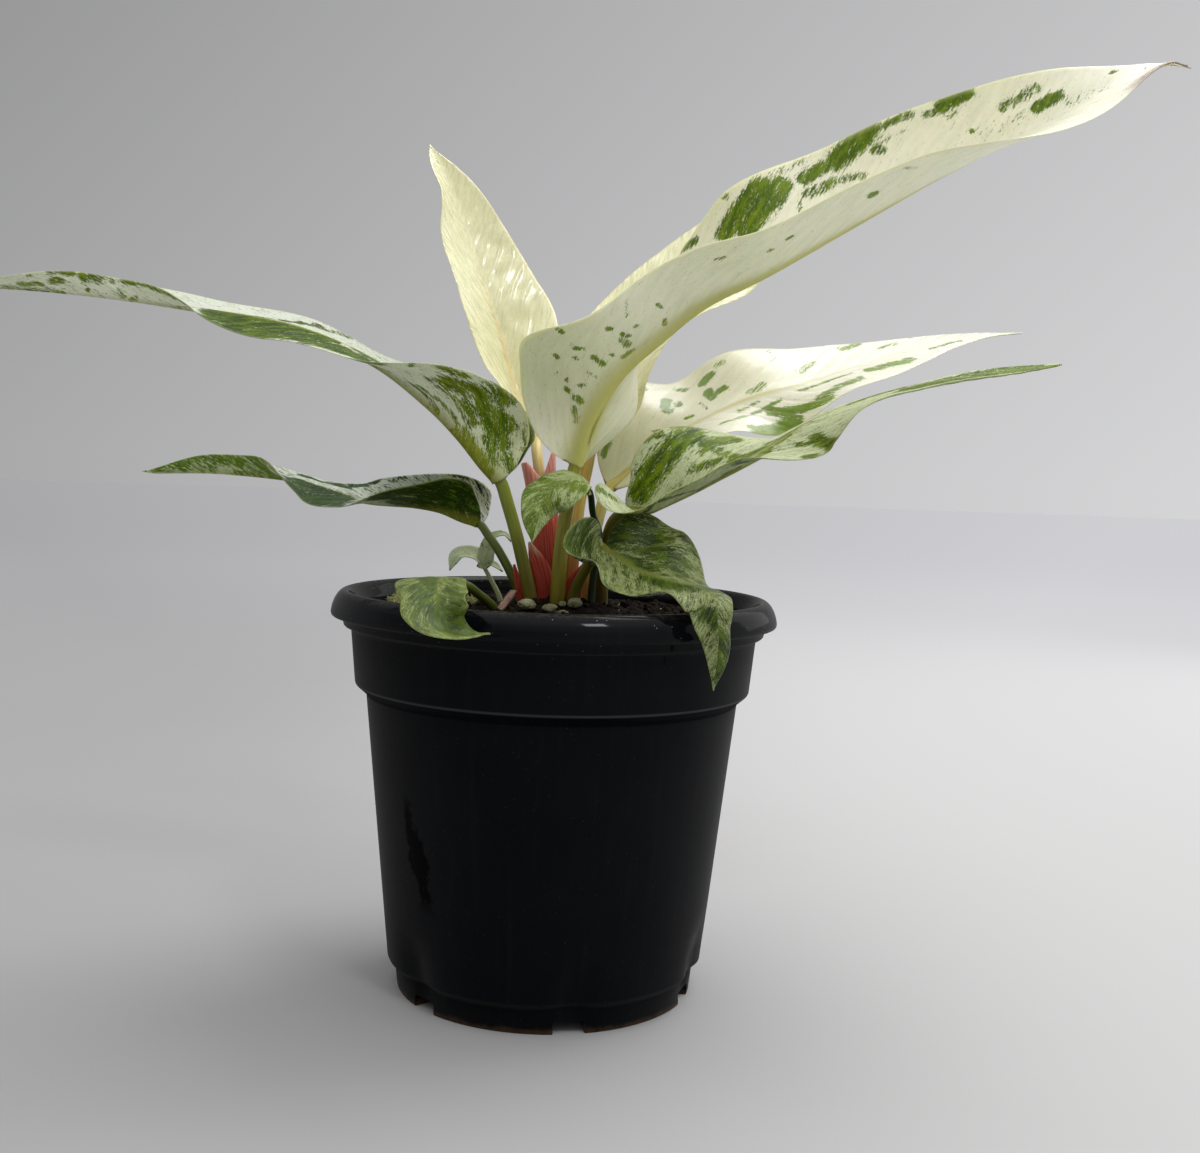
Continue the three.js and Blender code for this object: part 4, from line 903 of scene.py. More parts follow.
LOOKS = {
    "leaf_upper_right": Look(
        1, 0.05, (IVORY, srgb(124, 148, 16), srgb(76, 102, 4), YELLOW_OLIVE),
        (srgb(246, 243, 228), srgb(122, 148, 50), GREEN, YELLOW_OLIVE),
        (srgb(134, 120, 26), srgb(176, 170, 62)), speckle=0.6, through=0.8, rib_band=2.6, tint_reach=55,
        mark_size=0.85, under_tint=0.3),
    "leaf_back": Look(
        2, 0.0, (CREAM, GREEN, FOREST, PEACH), (srgb(228, 222, 170), GREEN, FOREST, PEACH),
        (srgb(200, 150, 60), srgb(228, 208, 140)), gloss=0.24, coat=0.8, grain=0.1, swell=0.26, ripple=0.2,
        ripple_size=5.5, vein_gap=6, blister=5),
    "leaf_behind": Look(
        3, 0.0, (CREAM, GREEN, FOREST, PEACH), (CREAM, srgb(100, 134, 30), FOREST, PEACH),
        (srgb(196, 110, 52), srgb(206, 176, 84)), gloss=0.24, coat=0.6, grain=0.1, swell=0.22, ripple=0.24,
        ripple_size=5.5, through=0.6, blister=5),
    "leaf_right_middle": Look(
        4, 0.04, (IVORY, srgb(122, 158, 44), GREEN, srgb(214, 206, 150)),
        (GREY_GREEN, DULL_SHADED_GREEN, DARK_DULL_SHADED_GREEN, srgb(206, 198, 138)), (srgb(190, 140, 60), srgb(210, 196, 110)),
        gloss=0.28, speckle=0.6, coat=0.4, through=0.5, upper_tint=0.6),
    "leaf_right_lower": Look(
        5, 0.3, (srgb(198, 204, 166), GREEN, FOREST, OLIVE),
        (srgb(160, 174, 122), DULL_SHADED_GREEN, DARK_DULL_SHADED_GREEN, OLIVE), (srgb(104, 88, 26), srgb(124, 122, 40)),
        full_green=0.82, mark_size=0.8, shine=0.12),
    "leaf_upper_left": Look(
        6, 0.22, (srgb(206, 210, 194), srgb(84, 106, 0), srgb(40, 60, 0), OLIVE),
        (srgb(240, 242, 222), srgb(134, 154, 40), srgb(80, 106, 12), OLIVE),
        (srgb(112, 100, 22), srgb(136, 146, 40)), gloss=0.42, speckle=0.8, through=0.4, full_green=0.76,
        mark_size=0.85, shine=0.08),
    # Its under face has painted shade on the green marks near the base
    "leaf_lower_left": Look(
        7, 0.34, (srgb(210, 216, 200), srgb(58, 88, 12), srgb(24, 48, 4), OLIVE),
        (srgb(196, 204, 156), srgb(104, 136, 36), srgb(16, 36, 3), OLIVE),
        (srgb(76, 90, 12), srgb(98, 116, 24)), painted_shade_reach=52, shine=0.08),
    "leaf_front_right": Look(
        8, 0.48, (srgb(152, 160, 108), srgb(82, 104, 10), srgb(26, 44, 0), srgb(120, 130, 56)),
        DULL_SHADED_UNDER, (srgb(112, 108, 30), srgb(128, 130, 44)), speckle=0.9, vein_gap=5, full_green=0.8,
        mark_size=0.6),
    "leaf_centre": Look(
        9, 0.44, (srgb(176, 188, 134), srgb(118, 138, 36), srgb(84, 106, 16), srgb(126, 136, 56)),
        DULL_SHADED_UNDER, (srgb(28, 56, 16), srgb(34, 66, 22)), gloss=0.46, speckle=0.8, vein_gap=4.5,
        mark_size=0.65),
    "leaf_front_left": Look(
        10, 0.5, (srgb(142, 152, 88), srgb(82, 102, 6), srgb(46, 66, 0), srgb(120, 134, 50)),
        DULL_SHADED_UNDER, (srgb(80, 92, 20), srgb(98, 114, 34)), speckle=0.8, vein_gap=5, mark_size=0.55),
}


# Sheaths, each a blade without a petiole, cupped round what it once wrapped

SHEATH_LEAN = (5, 5)
TALL_BACK_HALF = (3.8, 4, 4, 4, 3.9, 3.4, 1.2)
SMALL_HALF = (1.1, 1.2, 1.1, 0.9, 0.3)


def sheath(path, face, left_widths, left_cup, right_widths, right_cup):
    left = Half(0, left_cup, 0, left_widths, SHEATH_LEAN)
    right = Half(0, right_cup, 0, right_widths, SHEATH_LEAN)
    return Leaf(path, 0, face, None, left, right, rows=80, columns=14)


SHEATHS = {
    "sheath_tall_left": sheath(
        [(-5.2, 0.8, 98), (-5.4, 0.8, 104), (-6.4, 0.5, 115), (-8, 1.5, 128), (-9.7, 2, 136)],
        (1, 0.1, 0.1), (6.4, 7.2, 8, 8.4, 8.4, 7.4, 2.4), 102, TALL_BACK_HALF, 65),
    "sheath_tall_right": sheath(
        [(1.4, 0.8, 98), (1.3, 0.8, 104), (0.6, 0.5, 115), (-0.8, 1.5, 128), (-1.6, 2, 139)],
        (-1, 0.1, 0), TALL_BACK_HALF, 65, (5, 5.8, 6.6, 7, 6.8, 5.4, 1.6), 92),
    "sheath_front_left": sheath(
        [(-3, -4, 98), (-3.3, -4, 104), (-4.7, -4.2, 110), (-7.2, -4.2, 116)],
        (0, 1, 0.1), (3, 3.3, 3.2, 2.4, 0.3), 5, (3.6, 3.8, 3.4, 2.4, 0.3), 45),
    "sheath_front_right": sheath(
        [(3.4, -2.6, 98), (4.2, -2.6, 103), (5.8, -2.6, 107.5), (8, -2.6, 111.5)],
        (-0.3, 1, 0.1), (2.6, 3, 2.8, 1.8, 0.3), 30, (2.4, 2.8, 2.6, 1.8, 0.3), 20),
    "sheath_small_left": sheath(
        [(-8, -2.6, 98), (-9.2, -2.5, 103), (-10.9, -2.4, 110)],
        (0.3, 1, 0.1), SMALL_HALF, 20, SMALL_HALF, 20),
}
SHEATH_HALF_THICKNESS = 0.24
SHEATH_RIDGE = 0.07
BRICK, RED, PINK, BLUSH = srgb(158, 44, 18), srgb(206, 80, 58), srgb(238, 162, 150), srgb(240, 204, 176)


def sheath_material(name, seed, tip, change):
    """Papery sheath: red at the base, paler at the tip, with fine lengthwise veins."""
    n = Skin(name)
    u, v = n.leaf_place()
    cloud = n.noise(n.vector(u * 0.18, v * 0.5, seed), 1, 4, 0.6)
    veins = n.noise(n.vector(u * 0.05, v * 3.2, seed + 2), 1, 3, 0.6)
    height = u + (cloud - 0.5) * 16
    colour = n.mix(BRICK, RED, height.step(change[0], change[1]))
    colour = n.mix(colour, tip, height.step(change[1], change[2]))
    colour = n.mix(colour, n.dimmed(colour, 0.62, 1.1), veins.step(0.42, 0.66))
    n.bump(veins + cloud * 0.4, 0.25)
    return n.set(colour=colour, roughness=cloud * 0.25 + 0.3, subsurface=0.4,
                 subsurface_scale=SHEATH_THROUGH)


def sheath_piece(name, shape, material):
    blade = Blade(shape)
    normals = blade.normals()
    ridges = SHEATH_RIDGE * np.cos(blade.across * 7)
    edge = SHEATH_HALF_THICKNESS * (0.35 + 0.65 * smoothstep(1, 0.7, np.abs(blade.t)))
    half = np.broadcast_to(edge, blade.across.shape)
    build = Build()
    add_sheet(build, blade.grid + normals * ridges[..., None], normals, half, half, leaf_uv=blade.uv())
    build.slots = [0] * len(build.faces)
    return build.piece(name + "_piece", [material], name)


# Seedling: a stem, a bent leaf and two small ones

SEEDLING_STEM = [(-14.4, 6.5, 96), (-14.7, 6.5, 100.3), (-17.2, 6.5, 105.2), (-19, 6.5, 108.3)]
SEEDLING_LEAVES = [
    ([(-19, 6.5, 108.2), (-20.3, 6.5, 110.2), (-23, 6, 111.3), (-26, 5, 111), (-28, 4, 107.5)], 3.6),
    ([(-18.9, 6.5, 108), (-17, 6, 109.2), (-14, 5.5, 107.6)], 1.4),
    ([(-18.9, 6.5, 108), (-18.3, 6.8, 112), (-17, 7, 116), (-14, 6.5, 117.2), (-12, 6, 115.5)], 2.4),
]
SEEDLING_HALF_THICKNESS = 0.12
SEEDLING_STEPS, SEEDLING_SIDES = 24, 14


def seedling_piece():
    build = Build()
    points, length = path_points(SEEDLING_STEM, 0, 3, np.linspace(0, 1, SEEDLING_STEPS))
    vertices, faces = tube_parts(points, np.linspace(0.72, 0.55, SEEDLING_STEPS), SEEDLING_SIDES)
    run = along_tube(np.linspace(0, length, SEEDLING_STEPS), SEEDLING_SIDES)
    build.add(vertices, faces, leaf_uv=np.stack([run, run * 0], axis=-1), green=0.1, rib=0.5)
    for path, width in SEEDLING_LEAVES:
        half = Half(0.2, 15, 0, (width * 0.8, width, width, width * 0.7, 0), (15, 15))
        blade = Blade(Leaf(path, 0, (0, -0.5, 1), None, half, half, rows=50, columns=8), softness=0.4)
        rib = np.exp(-((blade.across / 0.35) ** 2))
        above = np.full(rib.shape, SEEDLING_HALF_THICKNESS)
        add_sheet(build, blade.grid, blade.normals(), above, above + 0.3 * rib,
                  leaf_uv=blade.uv(), green=np.full(rib.shape, 0.25), rib=rib * 0.6)
    build.slots = [0] * len(build.faces)
    material = leaf_material("seedling_skin", 21, srgb(186, 196, 160), srgb(128, 146, 84),
                             srgb(92, 112, 52), srgb(150, 160, 90), lean=0.5, gloss=0.5, speckle=0.3)
    return build.piece("seedling_piece", [material], "seedling")


# Pebbles, moss and wood chip on the potting mix

def icosphere(steps):
    shape = bmesh.new()
    bmesh.ops.create_icosphere(shape, subdivisions=steps, radius=1)
    points = np.array([v.co[:] for v in shape.verts])
    faces = [tuple(v.index for v in face.verts) for face in shape.faces]
    shape.free()
    return points, faces


def turned(points, turn, lean=0.0):
    """Points leaned about X, then turned about Z, in radians."""
    c, s = math.cos(lean), math.sin(lean)
    points = points @ np.array([[1, 0, 0], [0, c, s], [0, -s, c]])
    c, s = math.cos(turn), math.sin(turn)
    return points @ np.array([[c, s, 0], [-s, c, 0], [0, 0, 1]])


# Each pebble's centre, half sizes and turn in degrees
PEBBLES = [
    ((-7, -15, 101), (2.4, 1.9, 1.4), 10),
    ((-1.3, -17, 100.1), (2.1, 1.7, 1.4), -10),
    ((1.7, -20.2, 99.3), (2, 1.5, 1), 0),
    ((4.9, -12.7, 101.4), (2.2, 1.3, 1.3), 35),
    ((1.8, -14.5, 101.3), (1, 0.9, 0.7), 0),
]


def stone_material():
    n = Skin("stone")
    place = n.place()
    cloud, grain, pits = n.noise(place, 0.6, 4), n.noise(place, 5, 5, 0.7), n.cells(place, 2.6)
    colour = n.mix(srgb(126, 126, 88), srgb(172, 170, 130), cloud.step(0.3, 0.7))
    colour = n.mix(colour, srgb(92, 84, 62), grain.step(0.55, 0.75))
    colour = n.mix(colour, srgb(74, 62, 44), pits.step(0.2, 0.05))
    # Darker brown towards the bottom
    brown_low_down = n.split(place)[2] + cloud * 2.2
    colour = n.mix(colour, srgb(40, 32, 22), brown_low_down.step(101.6, 100.2))
    n.bump(grain * 0.6 + pits, 0.35)
    return n.set(colour=colour, roughness=grain * 0.3 + 0.6)


def pebble_piece(index, material):
    centre, halves, turn = PEBBLES[index]
    points, faces = icosphere(5)
    lumps = 0.1 * noise_at(points, 0.8, index) + 0.05 * noise_at(points, 0.3, index + 9)
    points = points * (1 + lumps - 0.03)[:, None] * np.array(halves)
    build = Build()
    build.add(turned(points, math.radians(turn)) + centre, faces)
    node = "pebble_%d" % (index + 1)
    return build.piece(node + "_piece", [material], node)


def moss_material():
    n = Skin("moss")
    place = n.place()
    cloud, fine = n.noise(place, 0.5, 3), n.noise(place, 3, 4, 0.7)
    colour = n.mix(srgb(70, 78, 22), srgb(138, 142, 48), cloud.step(0.3, 0.7))
    colour = n.mix(colour, srgb(96, 78, 36), fine.step(0.52, 0.72))
    colour = n.mix(colour, srgb(176, 172, 84), fine.step(0.6, 0.3))
    n.bump(fine, 0.3)
    return n.set(colour=colour, roughness=fine * 0.2 + 0.7, sheen=0.4, subsurface=0.2,
                 subsurface_scale=0.6 * MM)


def moss_piece(node, centre, halves, turn, shoots, rng, material):
    """Cushion of moss: a lumpy mound grown over with short pointed shoots."""
    build = Build()
    points, faces = icosphere(4)
    lumps = 0.2 * noise_at(points, 0.5, 5)
    ground = turned(points * (0.82 + lumps)[:, None] * np.array(halves), math.radians(turn)) + centre
    build.add(ground, faces)
    chosen = rng.choice(np.flatnonzero(points[:, 2] > -0.1), shoots)
    for k in chosen:
        outward = unit(points[k] / np.array(halves) + rng.normal(0, 0.45, 3) + (0, 0, 0.25))
        foot = ground[k] - outward * 0.2
        length = rng.uniform(0.5, 1.25)
        bend = rng.normal(0, 0.25, 3) * length
        line = [foot, foot + outward * length * 0.5 + bend * 0.3, foot + outward * length + bend]
        build.add(*tube_parts(line, (0.16, 0.2, 0.02), 5))
    return build.piece(node + "_piece", [material], node)


CHIP_PLACE, CHIP_HALF_LENGTH, CHIP_HALF_WIDTH, CHIP_HALF_HEIGHT = (-12.2, -14.2, 101.6), 3.3, 0.95, 0.55
# Turns about Z, Y and X in degrees, X first
CHIP_TURNS = (("Z", 40), ("Y", -48), ("X", 35))
CHIP_ROWS, CHIP_SIDES = 26, 12


def wood_material():
    n = Skin("wood")
    fibre = n.vector(n.attribute("grain_u") * 0.3, n.attribute("grain_v") * 4, 0.0)
    fibre = n.noise(fibre, 1, 4, 0.65)
    cloud = n.noise(n.place(), 1.1, 3)
    colour = n.mix(srgb(186, 150, 130), srgb(126, 92, 74), fibre.step(0.35, 0.65))
    colour = n.mix(colour, srgb(70, 50, 38), cloud.step(0.55, 0.75))
    n.bump(fibre, 0.4)
    return n.set(colour=colour, roughness=fibre * 0.2 + 0.65)


def wood_chip_piece(rng):
    """Splintered sliver of bark, lengthwise along its own X."""
    turns = round_turns(CHIP_SIDES)
    rows = []
    for value in np.linspace(-1, 1, CHIP_ROWS):
        taper = 1 - 0.35 * abs(value) ** 4
        y = np.sign(np.cos(turns)) * np.abs(np.cos(turns)) ** 0.6 * taper
        z = np.sign(np.sin(turns)) * np.abs(np.sin(turns)) ** 0.6 * taper
        x = np.full(CHIP_SIDES, CHIP_HALF_LENGTH * value)
        rows.append(np.stack([x, CHIP_HALF_WIDTH * y, CHIP_HALF_HEIGHT * z], axis=1))
    points = np.array(rows)
    splinter = rng.uniform(-0.5, 0.5, CHIP_SIDES)
    points[0, :, 0] += splinter
    points[-1, :, 0] += splinter[::-1]
    points += 0.09 * noise_at(points * (0.4, 2, 2), 1, 3)[..., None] * (0, 1, 1)
    flat, faces = capped_rings(points, [points[0].mean(0), points[-1].mean(0)])
    turn = Matrix.Identity(3)
    for axis, degrees in CHIP_TURNS:
        turn = turn @ Matrix.Rotation(math.radians(degrees), 3, axis)
    build = Build()
    build.add(flat @ np.array(turn).T + CHIP_PLACE, faces, grain_u=flat[:, 0],
              grain_v=flat[:, 1] + 2 * flat[:, 2])
    return build.piece("wood_chip_piece", [wood_material()], "wood_chip")


# Potting mix: a lumpy mound inside the pot, with crumbs, bark and rootlets on it

MIX_EDGE_Z, MOUND_RISE, MOUND_SPREAD, MOUND_CENTRE = 97.2, 4.3, 15, (1, -2)
MIX_RIPPLE = 0.4
MIX_RADIUS = 50.4
MIX_AROUND, MIX_RINGS = 180, 70
# Radius and height down the mix's side, from its base up to its rim
MIX_SIDES = [(36.2, 2.4), (36.8, 9), (37.6, 12), (39.4, 26), (46.2, 77.2), (49.2, 79.9)]
# How many of each lie on the mix, and how far from the pot's axis
CRUMBS, CRUMB_REACH = 1500, 49
BARK_CHIPS, BARK_REACH = 90, 47
ROOTLETS, ROOTLET_REACH = 45, 44
# A rootlet wanders on in steps, unless it comes to the pot's wall
ROOTLET_STEPS, ROOTLET_STEP, ROOTLET_LIMIT = 9, 1.1, 49.5
ROOTLET_RADIUS, ROOTLET_END_RADIUS = 0.14, 0.06


def mix_surface(x, y):
    """Height of the mix, with small lumps."""
    away = np.hypot(x - MOUND_CENTRE[0], y - MOUND_CENTRE[1]) / MOUND_SPREAD
    ripple = np.sin(x * 0.31 + 1) * np.cos(y * 0.27 - 0.5)
    height = MIX_EDGE_Z + MOUND_RISE * np.exp(-(away**2) / 2) + MIX_RIPPLE * ripple
    at = np.stack([x, y, np.zeros_like(x)], axis=-1)
    lumps = 0.55 * noise_at(at, 4.5, 2) + 0.35 * noise_at(at, 1.9, 4) + 0.18 * noise_at(at, 0.9, 6)
    return height + lumps - 0.2


def mix_place(x, y):
    return np.array([x, y, float(mix_surface(np.array([x]), np.array([y]))[0])])


def mix_spot(rng, reach):
    """Random place on the mix, within reach of the pot's axis."""
    radius = reach * math.sqrt(rng.uniform())
    turn = rng.uniform(0, 2 * math.pi)
    return mix_place(radius * math.cos(turn), radius * math.sin(turn))


def mix_material():
    n = Skin("potting_mix")
    place, tone = n.place(), n.attribute("tone")
    cloud, fine = n.noise(place, 0.35, 4), n.noise(place, 2.4, 5, 0.7)
    colour = n.mix(srgb(11, 9, 7), srgb(32, 25, 18), cloud.step(0.3, 0.75))
    colour = n.mix(colour, srgb(70, 54, 37), tone * 0.75)
    colour = n.mix(colour, srgb(12, 9, 7), fine.step(0.5, 0.72))
    colour = n.mix(colour, srgb(196, 186, 160), tone.step(0.9, 0.98))
    n.bump(fine, 0.5)
    return n.set(colour=colour, roughness=fine * 0.3 + 0.6, specular=0.06)


def mix_piece(rng):
    build = Build()
    turns = round_turns(MIX_AROUND)
    rows = [np.stack([r * np.cos(turns), r * np.sin(turns), np.full(MIX_AROUND, z)], axis=1)
            for r, z in MIX_SIDES]
    for share in np.linspace(1, 0.012, MIX_RINGS):
        x, y = MIX_RADIUS * share * np.cos(turns), MIX_RADIUS * share * np.sin(turns)
        rows.append(np.stack([x, y, mix_surface(x, y)], axis=1))
    build.add(*capped_rings(np.array(rows), [[0, 0, MIX_SIDES[0][1]], rows[-1].mean(0)]), tone=0.1)
    small, large = icosphere(1), icosphere(2)
    for _ in range(CRUMBS):
        spot = mix_spot(rng, CRUMB_REACH)
        size = 0.35 + 0.9 * rng.uniform() ** 3
        shape, faces = large if size > 0.7 else small
        squash = rng.uniform(0.5, 1.1, 3)
        lumpy = shape * (1 + rng.normal(0, 0.12, len(shape)))[:, None] * squash * size
        lumpy = turned(lumpy, rng.uniform(0, 6.3), rng.uniform(0, 1.5))
        tone = rng.uniform() ** 2 * 0.8 if rng.uniform() > 0.02 else 1.0
        build.add(lumpy + spot + (0, 0, size * 0.15), faces, tone=tone)
    shape, faces = large
    for _ in range(BARK_CHIPS):
        spot = mix_spot(rng, BARK_REACH)
        chip = shape * (rng.uniform(1.2, 2.6), rng.uniform(0.5, 0.9), rng.uniform(0.2, 0.35))
        chip = chip * (1 + rng.normal(0, 0.08, len(chip)))[:, None]
        chip = turned(chip, rng.uniform(0, 6.3), rng.uniform(-0.6, 0.6))
        build.add(chip + spot + (0, 0, 0.15), faces, tone=rng.uniform(0.2, 0.85))
    for _ in range(ROOTLETS):
        spot = mix_spot(rng, ROOTLET_REACH)
        heading, line = rng.uniform(0, 2 * math.pi), []
        for step in range(ROOTLET_STEPS):
            if math.hypot(spot[0], spot[1]) > ROOTLET_LIMIT:
                break
            # Both ends go down into the mix
            line.append(spot + (0, 0, 0.4 if 0 < step < ROOTLET_STEPS - 1 else -0.15))
            heading += rng.normal(0, 0.25)
            spot = mix_place(spot[0] + ROOTLET_STEP * math.cos(heading),
                             spot[1] + ROOTLET_STEP * math.sin(heading))
        if len(line) > 3:
            line, _ = path_points(line, 0, len(line) - 1, np.linspace(0, 1, 16))
            root = tube_parts(line, np.linspace(ROOTLET_RADIUS, ROOTLET_END_RADIUS, 16), 6)
            build.add(*root, tone=rng.uniform(0.5, 0.9))
    return build.piece("potting_mix_piece", [mix_material()], "potting_mix")


# Pot, turned from its outline, with drain holes and a dimple over each

POT_AROUND = 216
# Drain holes: their number, the first one's turn from the front in degrees, their width and height,
# and the radii they are cut between
DRAIN_COUNT, DRAIN_FIRST_DEG, DRAIN_WIDTH, DRAIN_HEIGHT, DRAIN_REACH = 6, 10, 8, 3, (29, 42)
DIMPLE_DEPTH, DIMPLE_HALF_WIDTH, DIMPLE_RADIUS = 1.8, 5.5, 40
# Height of the collar's lower edge
STEP_Z = 79


def softened(outline, reach=0.5, steps=4):
    """Outline with its corners rounded off over reach mm."""
    outline = [np.array(point, float) for point in outline]
    result = [outline[0]]
    for before, corner, after in zip(outline, outline[1:], outline[2:]):
        back, ahead = before - corner, after - corner
        r = min(reach, 0.4 * np.linalg.norm(back), 0.4 * np.linalg.norm(ahead))
        start, end = corner + unit(back) * r, corner + unit(ahead) * r
        for w in np.linspace(0, 1, steps):
            result.append(start * (1 - w) ** 2 + 2 * corner * w * (1 - w) + end * w**2)
    return result + [outline[-1]]


def pot_outline():
    """Radius and height from the middle of the base, up the outside, over the lip and down inside."""
    base = [(0, 0.4), (26, 0.4), (27, 0), (38.3, 0), (39.1, 6.4), (41, 8)]
    wall = [(41 + 7 * (z - 8) / 68.5, z) for z in np.linspace(14, 70, 12)]
    collar = [(48, 76.5), (50.9, STEP_Z), (52.2, 93.2), (54.1, 93.8), (54.4, 96)]
    lip = [(55.3, 96.5), (57.2, 96.4), (57.4, 97.2), (57.1, 98.8), (56.5, 100.4), (55.7, 101.7),
           (54.8, 102.5), (53.9, 102.8), (53, 102.5), (52.2, 101.6), (51.5, 100.4)]
    inner = [(50.6, 99), (50.4, 94), (49.5, 79.8), (46.5, 77.5), (39.5, 9), (36.9, 2), (0, 2)]
    return softened(base + wall + collar + lip + inner)


def wet_trail(n, place, turn, z):
    """1 on a long wet mark that runs down the front left and wavers."""
    course = turn + z * 0.0055 + (n.noise(place, 0.16, 4, 0.6) * 0.26 - 0.57)
    return abs(course + 1.0).step(0.06, 0.03) * (z.step(57.0, 51.0) * z.step(25.0, 32.0))


def pot_material():
    n = Skin("pot_plastic")
    place = n.place()
    x, y, z = n.split(place)
    turn = n.math("ARCTAN2", x, y * -1.0)
    cloud, grain, specks = n.noise(place, 0.05, 4), n.noise(place, 1.8, 3), n.cells(place, 0.55)
    brushed = n.noise(n.vector(turn * 14.0, 0.0, z * 0.03), 1, 4, 0.6)
    trail = wet_trail(n, place, turn, z)
    # Painted highlight: a thin light line along the collar's lower edge
    painted_step_highlight = z.step(STEP_Z - 0.5, STEP_Z - 0.2) * z.step(STEP_Z + 0.5, STEP_Z + 0.1)
    ledge = z.step(75.9, 76.4) * z.step(STEP_Z, STEP_Z - 0.3) * 0.7
    # Browner towards the foot
    brown_low_down = z + n.noise(place, 0.25, 4, 0.65) * 3.0
    near_lip = z.step(90.0, 103.0)
    dust = specks.step(0.075, 0.03) * (near_lip * 0.9 + 0.1)
    film = z.step(101.2, 102.7) * n.noise(place, 0.9, 4, 0.65).step(0.42, 0.62)
    colour = n.mix(srgb(1, 3, 5), srgb(4, 6, 9), cloud.step(0.3, 0.7))
    colour = n.mix(colour, srgb(9, 10, 13), brushed.step(0.5, 0.75))
    colour = n.mix(colour, srgb(0, 0, 1), trail)
    # Painted highlight along the collar's lower edge
    colour = n.mix(colour, srgb(56, 59, 62), painted_step_highlight * 0.7)
    colour = n.mix(colour, srgb(72, 52, 36), brown_low_down.step(3.4, 1.6) * 0.8)
    colour = n.mix(colour, srgb(120, 108, 88), film * 0.12)
    colour = n.mix(colour, srgb(170, 160, 140), dust)
    n.bump(grain * 0.5 + brushed * 0.6, 0.06)
    return n.set(colour=colour, roughness=cloud * 0.2 + 0.3 - trail * 0.12 + film * 0.25, specular=0.0,
                 coat=(near_lip * 0.16 + 0.1) * (1.0 - ledge), coat_roughness=0.08,
                 sheen=(1.0 - trail.at_least(ledge)) * 0.055)


def drain_cutter(turn):
    """Block that cuts a drain hole at a turn from the front."""
    near, far = DRAIN_REACH
    box = bmesh.new()
    bmesh.ops.create_cube(box, size=1)
    bmesh.ops.scale(box, vec=(DRAIN_WIDTH, far - near, DRAIN_HEIGHT + 1), verts=box.verts)
    bmesh.ops.translate(box, vec=(0, -(near + far) / 2, (DRAIN_HEIGHT - 1) / 2), verts=box.verts)
    bmesh.ops.rotate(box, cent=(0, 0, 0), matrix=Matrix.Rotation(turn, 3, "Z"), verts=box.verts)
    bmesh.ops.scale(box, vec=(MM, MM, MM), verts=box.verts)
    mesh = bpy.data.meshes.new("drain_cut")
    box.to_mesh(mesh)
    box.free()
    return placed("drain_cut", mesh)


def pot_piece():
    outline = np.array(pot_outline())
    turns = round_turns(POT_AROUND)
    radius, height = outline[1:-1, 0], outline[1:-1, 1]
    drains = np.radians(DRAIN_FIRST_DEG + 360 / DRAIN_COUNT * np.arange(DRAIN_COUNT))
    # Angle is measured from the front, turning as the drains do
    gap = np.abs((turns[:, None] - drains[None, :] + math.pi) % (2 * math.pi) - math.pi).min(axis=1)
    dimple = np.exp(-((gap * DIMPLE_RADIUS / DIMPLE_HALF_WIDTH) ** 2))[None, :]
    over = smoothstep(24, 9, height)[:, None] * smoothstep(2, 7, height)[:, None]
    rings = radius[:, None] - DIMPLE_DEPTH * dimple * over
    z = np.broadcast_to(height[:, None], rings.shape)
    points = np.stack([rings * np.sin(turns), -rings * np.cos(turns), z], axis=-1)
    build = Build()
    build.add(*capped_rings(points, [[0, 0, outline[0, 1]], [0, 0, outline[-1, 1]]]))
    pot = build.piece("pot_piece", [pot_material()], "pot")
    cutters = [drain_cutter(turn) for turn in drains]
    for cutter in cutters:
        cut = pot.modifiers.new("drain", "BOOLEAN")
        cut.object, cut.operation, cut.solver = cutter, "DIFFERENCE", "EXACT"
    evaluated = pot.evaluated_get(bpy.context.evaluated_depsgraph_get())
    mesh = bpy.data.meshes.new_from_object(evaluated)
    pot.modifiers.clear()
    pot.data = mesh
    mesh.polygons.foreach_set("use_smooth", [True] * len(mesh.polygons))
    mesh.set_sharp_from_angle(angle=math.radians(40))
    for cutter in cutters:
        bpy.data.objects.remove(cutter)
    return pot


# Camera, at the photograph's place and angle

CAMERA_PLACE = (0, -0.377, 0.1354)
CAMERA_LENS, CAMERA_SENSOR = 43.68, 36
CAMERA_PITCH, CAMERA_YAW, CAMERA_ROLL = (math.radians(a) for a in (4.25, 1.73, 1.99))


def make_camera():
    forward = Vector((
        math.sin(CAMERA_YAW) * math.cos(CAMERA_PITCH),
        math.cos(CAMERA_YAW) * math.cos(CAMERA_PITCH),
        -math.sin(CAMERA_PITCH),
    ))
    right = Vector((math.cos(CAMERA_YAW), -math.sin(CAMERA_YAW), 0))
    up = right.cross(forward)
    turned_right = right * math.cos(CAMERA_ROLL) + up * math.sin(CAMERA_ROLL)
    turned_up = up * math.cos(CAMERA_ROLL) - right * math.sin(CAMERA_ROLL)
    data = bpy.data.cameras.new("camera")
    data.lens, data.sensor_width = CAMERA_LENS, CAMERA_SENSOR
    data.clip_start, data.clip_end = 0.01, 20
    camera = placed("camera", data)
    matrix = Matrix((turned_right, turned_up, -forward)).transposed().to_4x4()
    matrix.translation = CAMERA_PLACE
    camera.matrix_world = matrix
    bpy.context.scene.camera = camera


# Lights: each one's name, place, the place it faces, side, power in watts and colour

LIGHTS = [
    ("key", (0.35, 0.25, 0.95), (0, 0, 0.14), 0.6, 4.6, (1, 1, 1)),
    ("side", (0.7, 0.5, 0.4), (0, 0, 0.14), 0.5, 0.7, (1, 1, 1)),
    ("front", (0.25, -0.55, 0.75), (0, 0, 0.16), 0.14, 1.25, (0.92, 0.96, 1)),
]


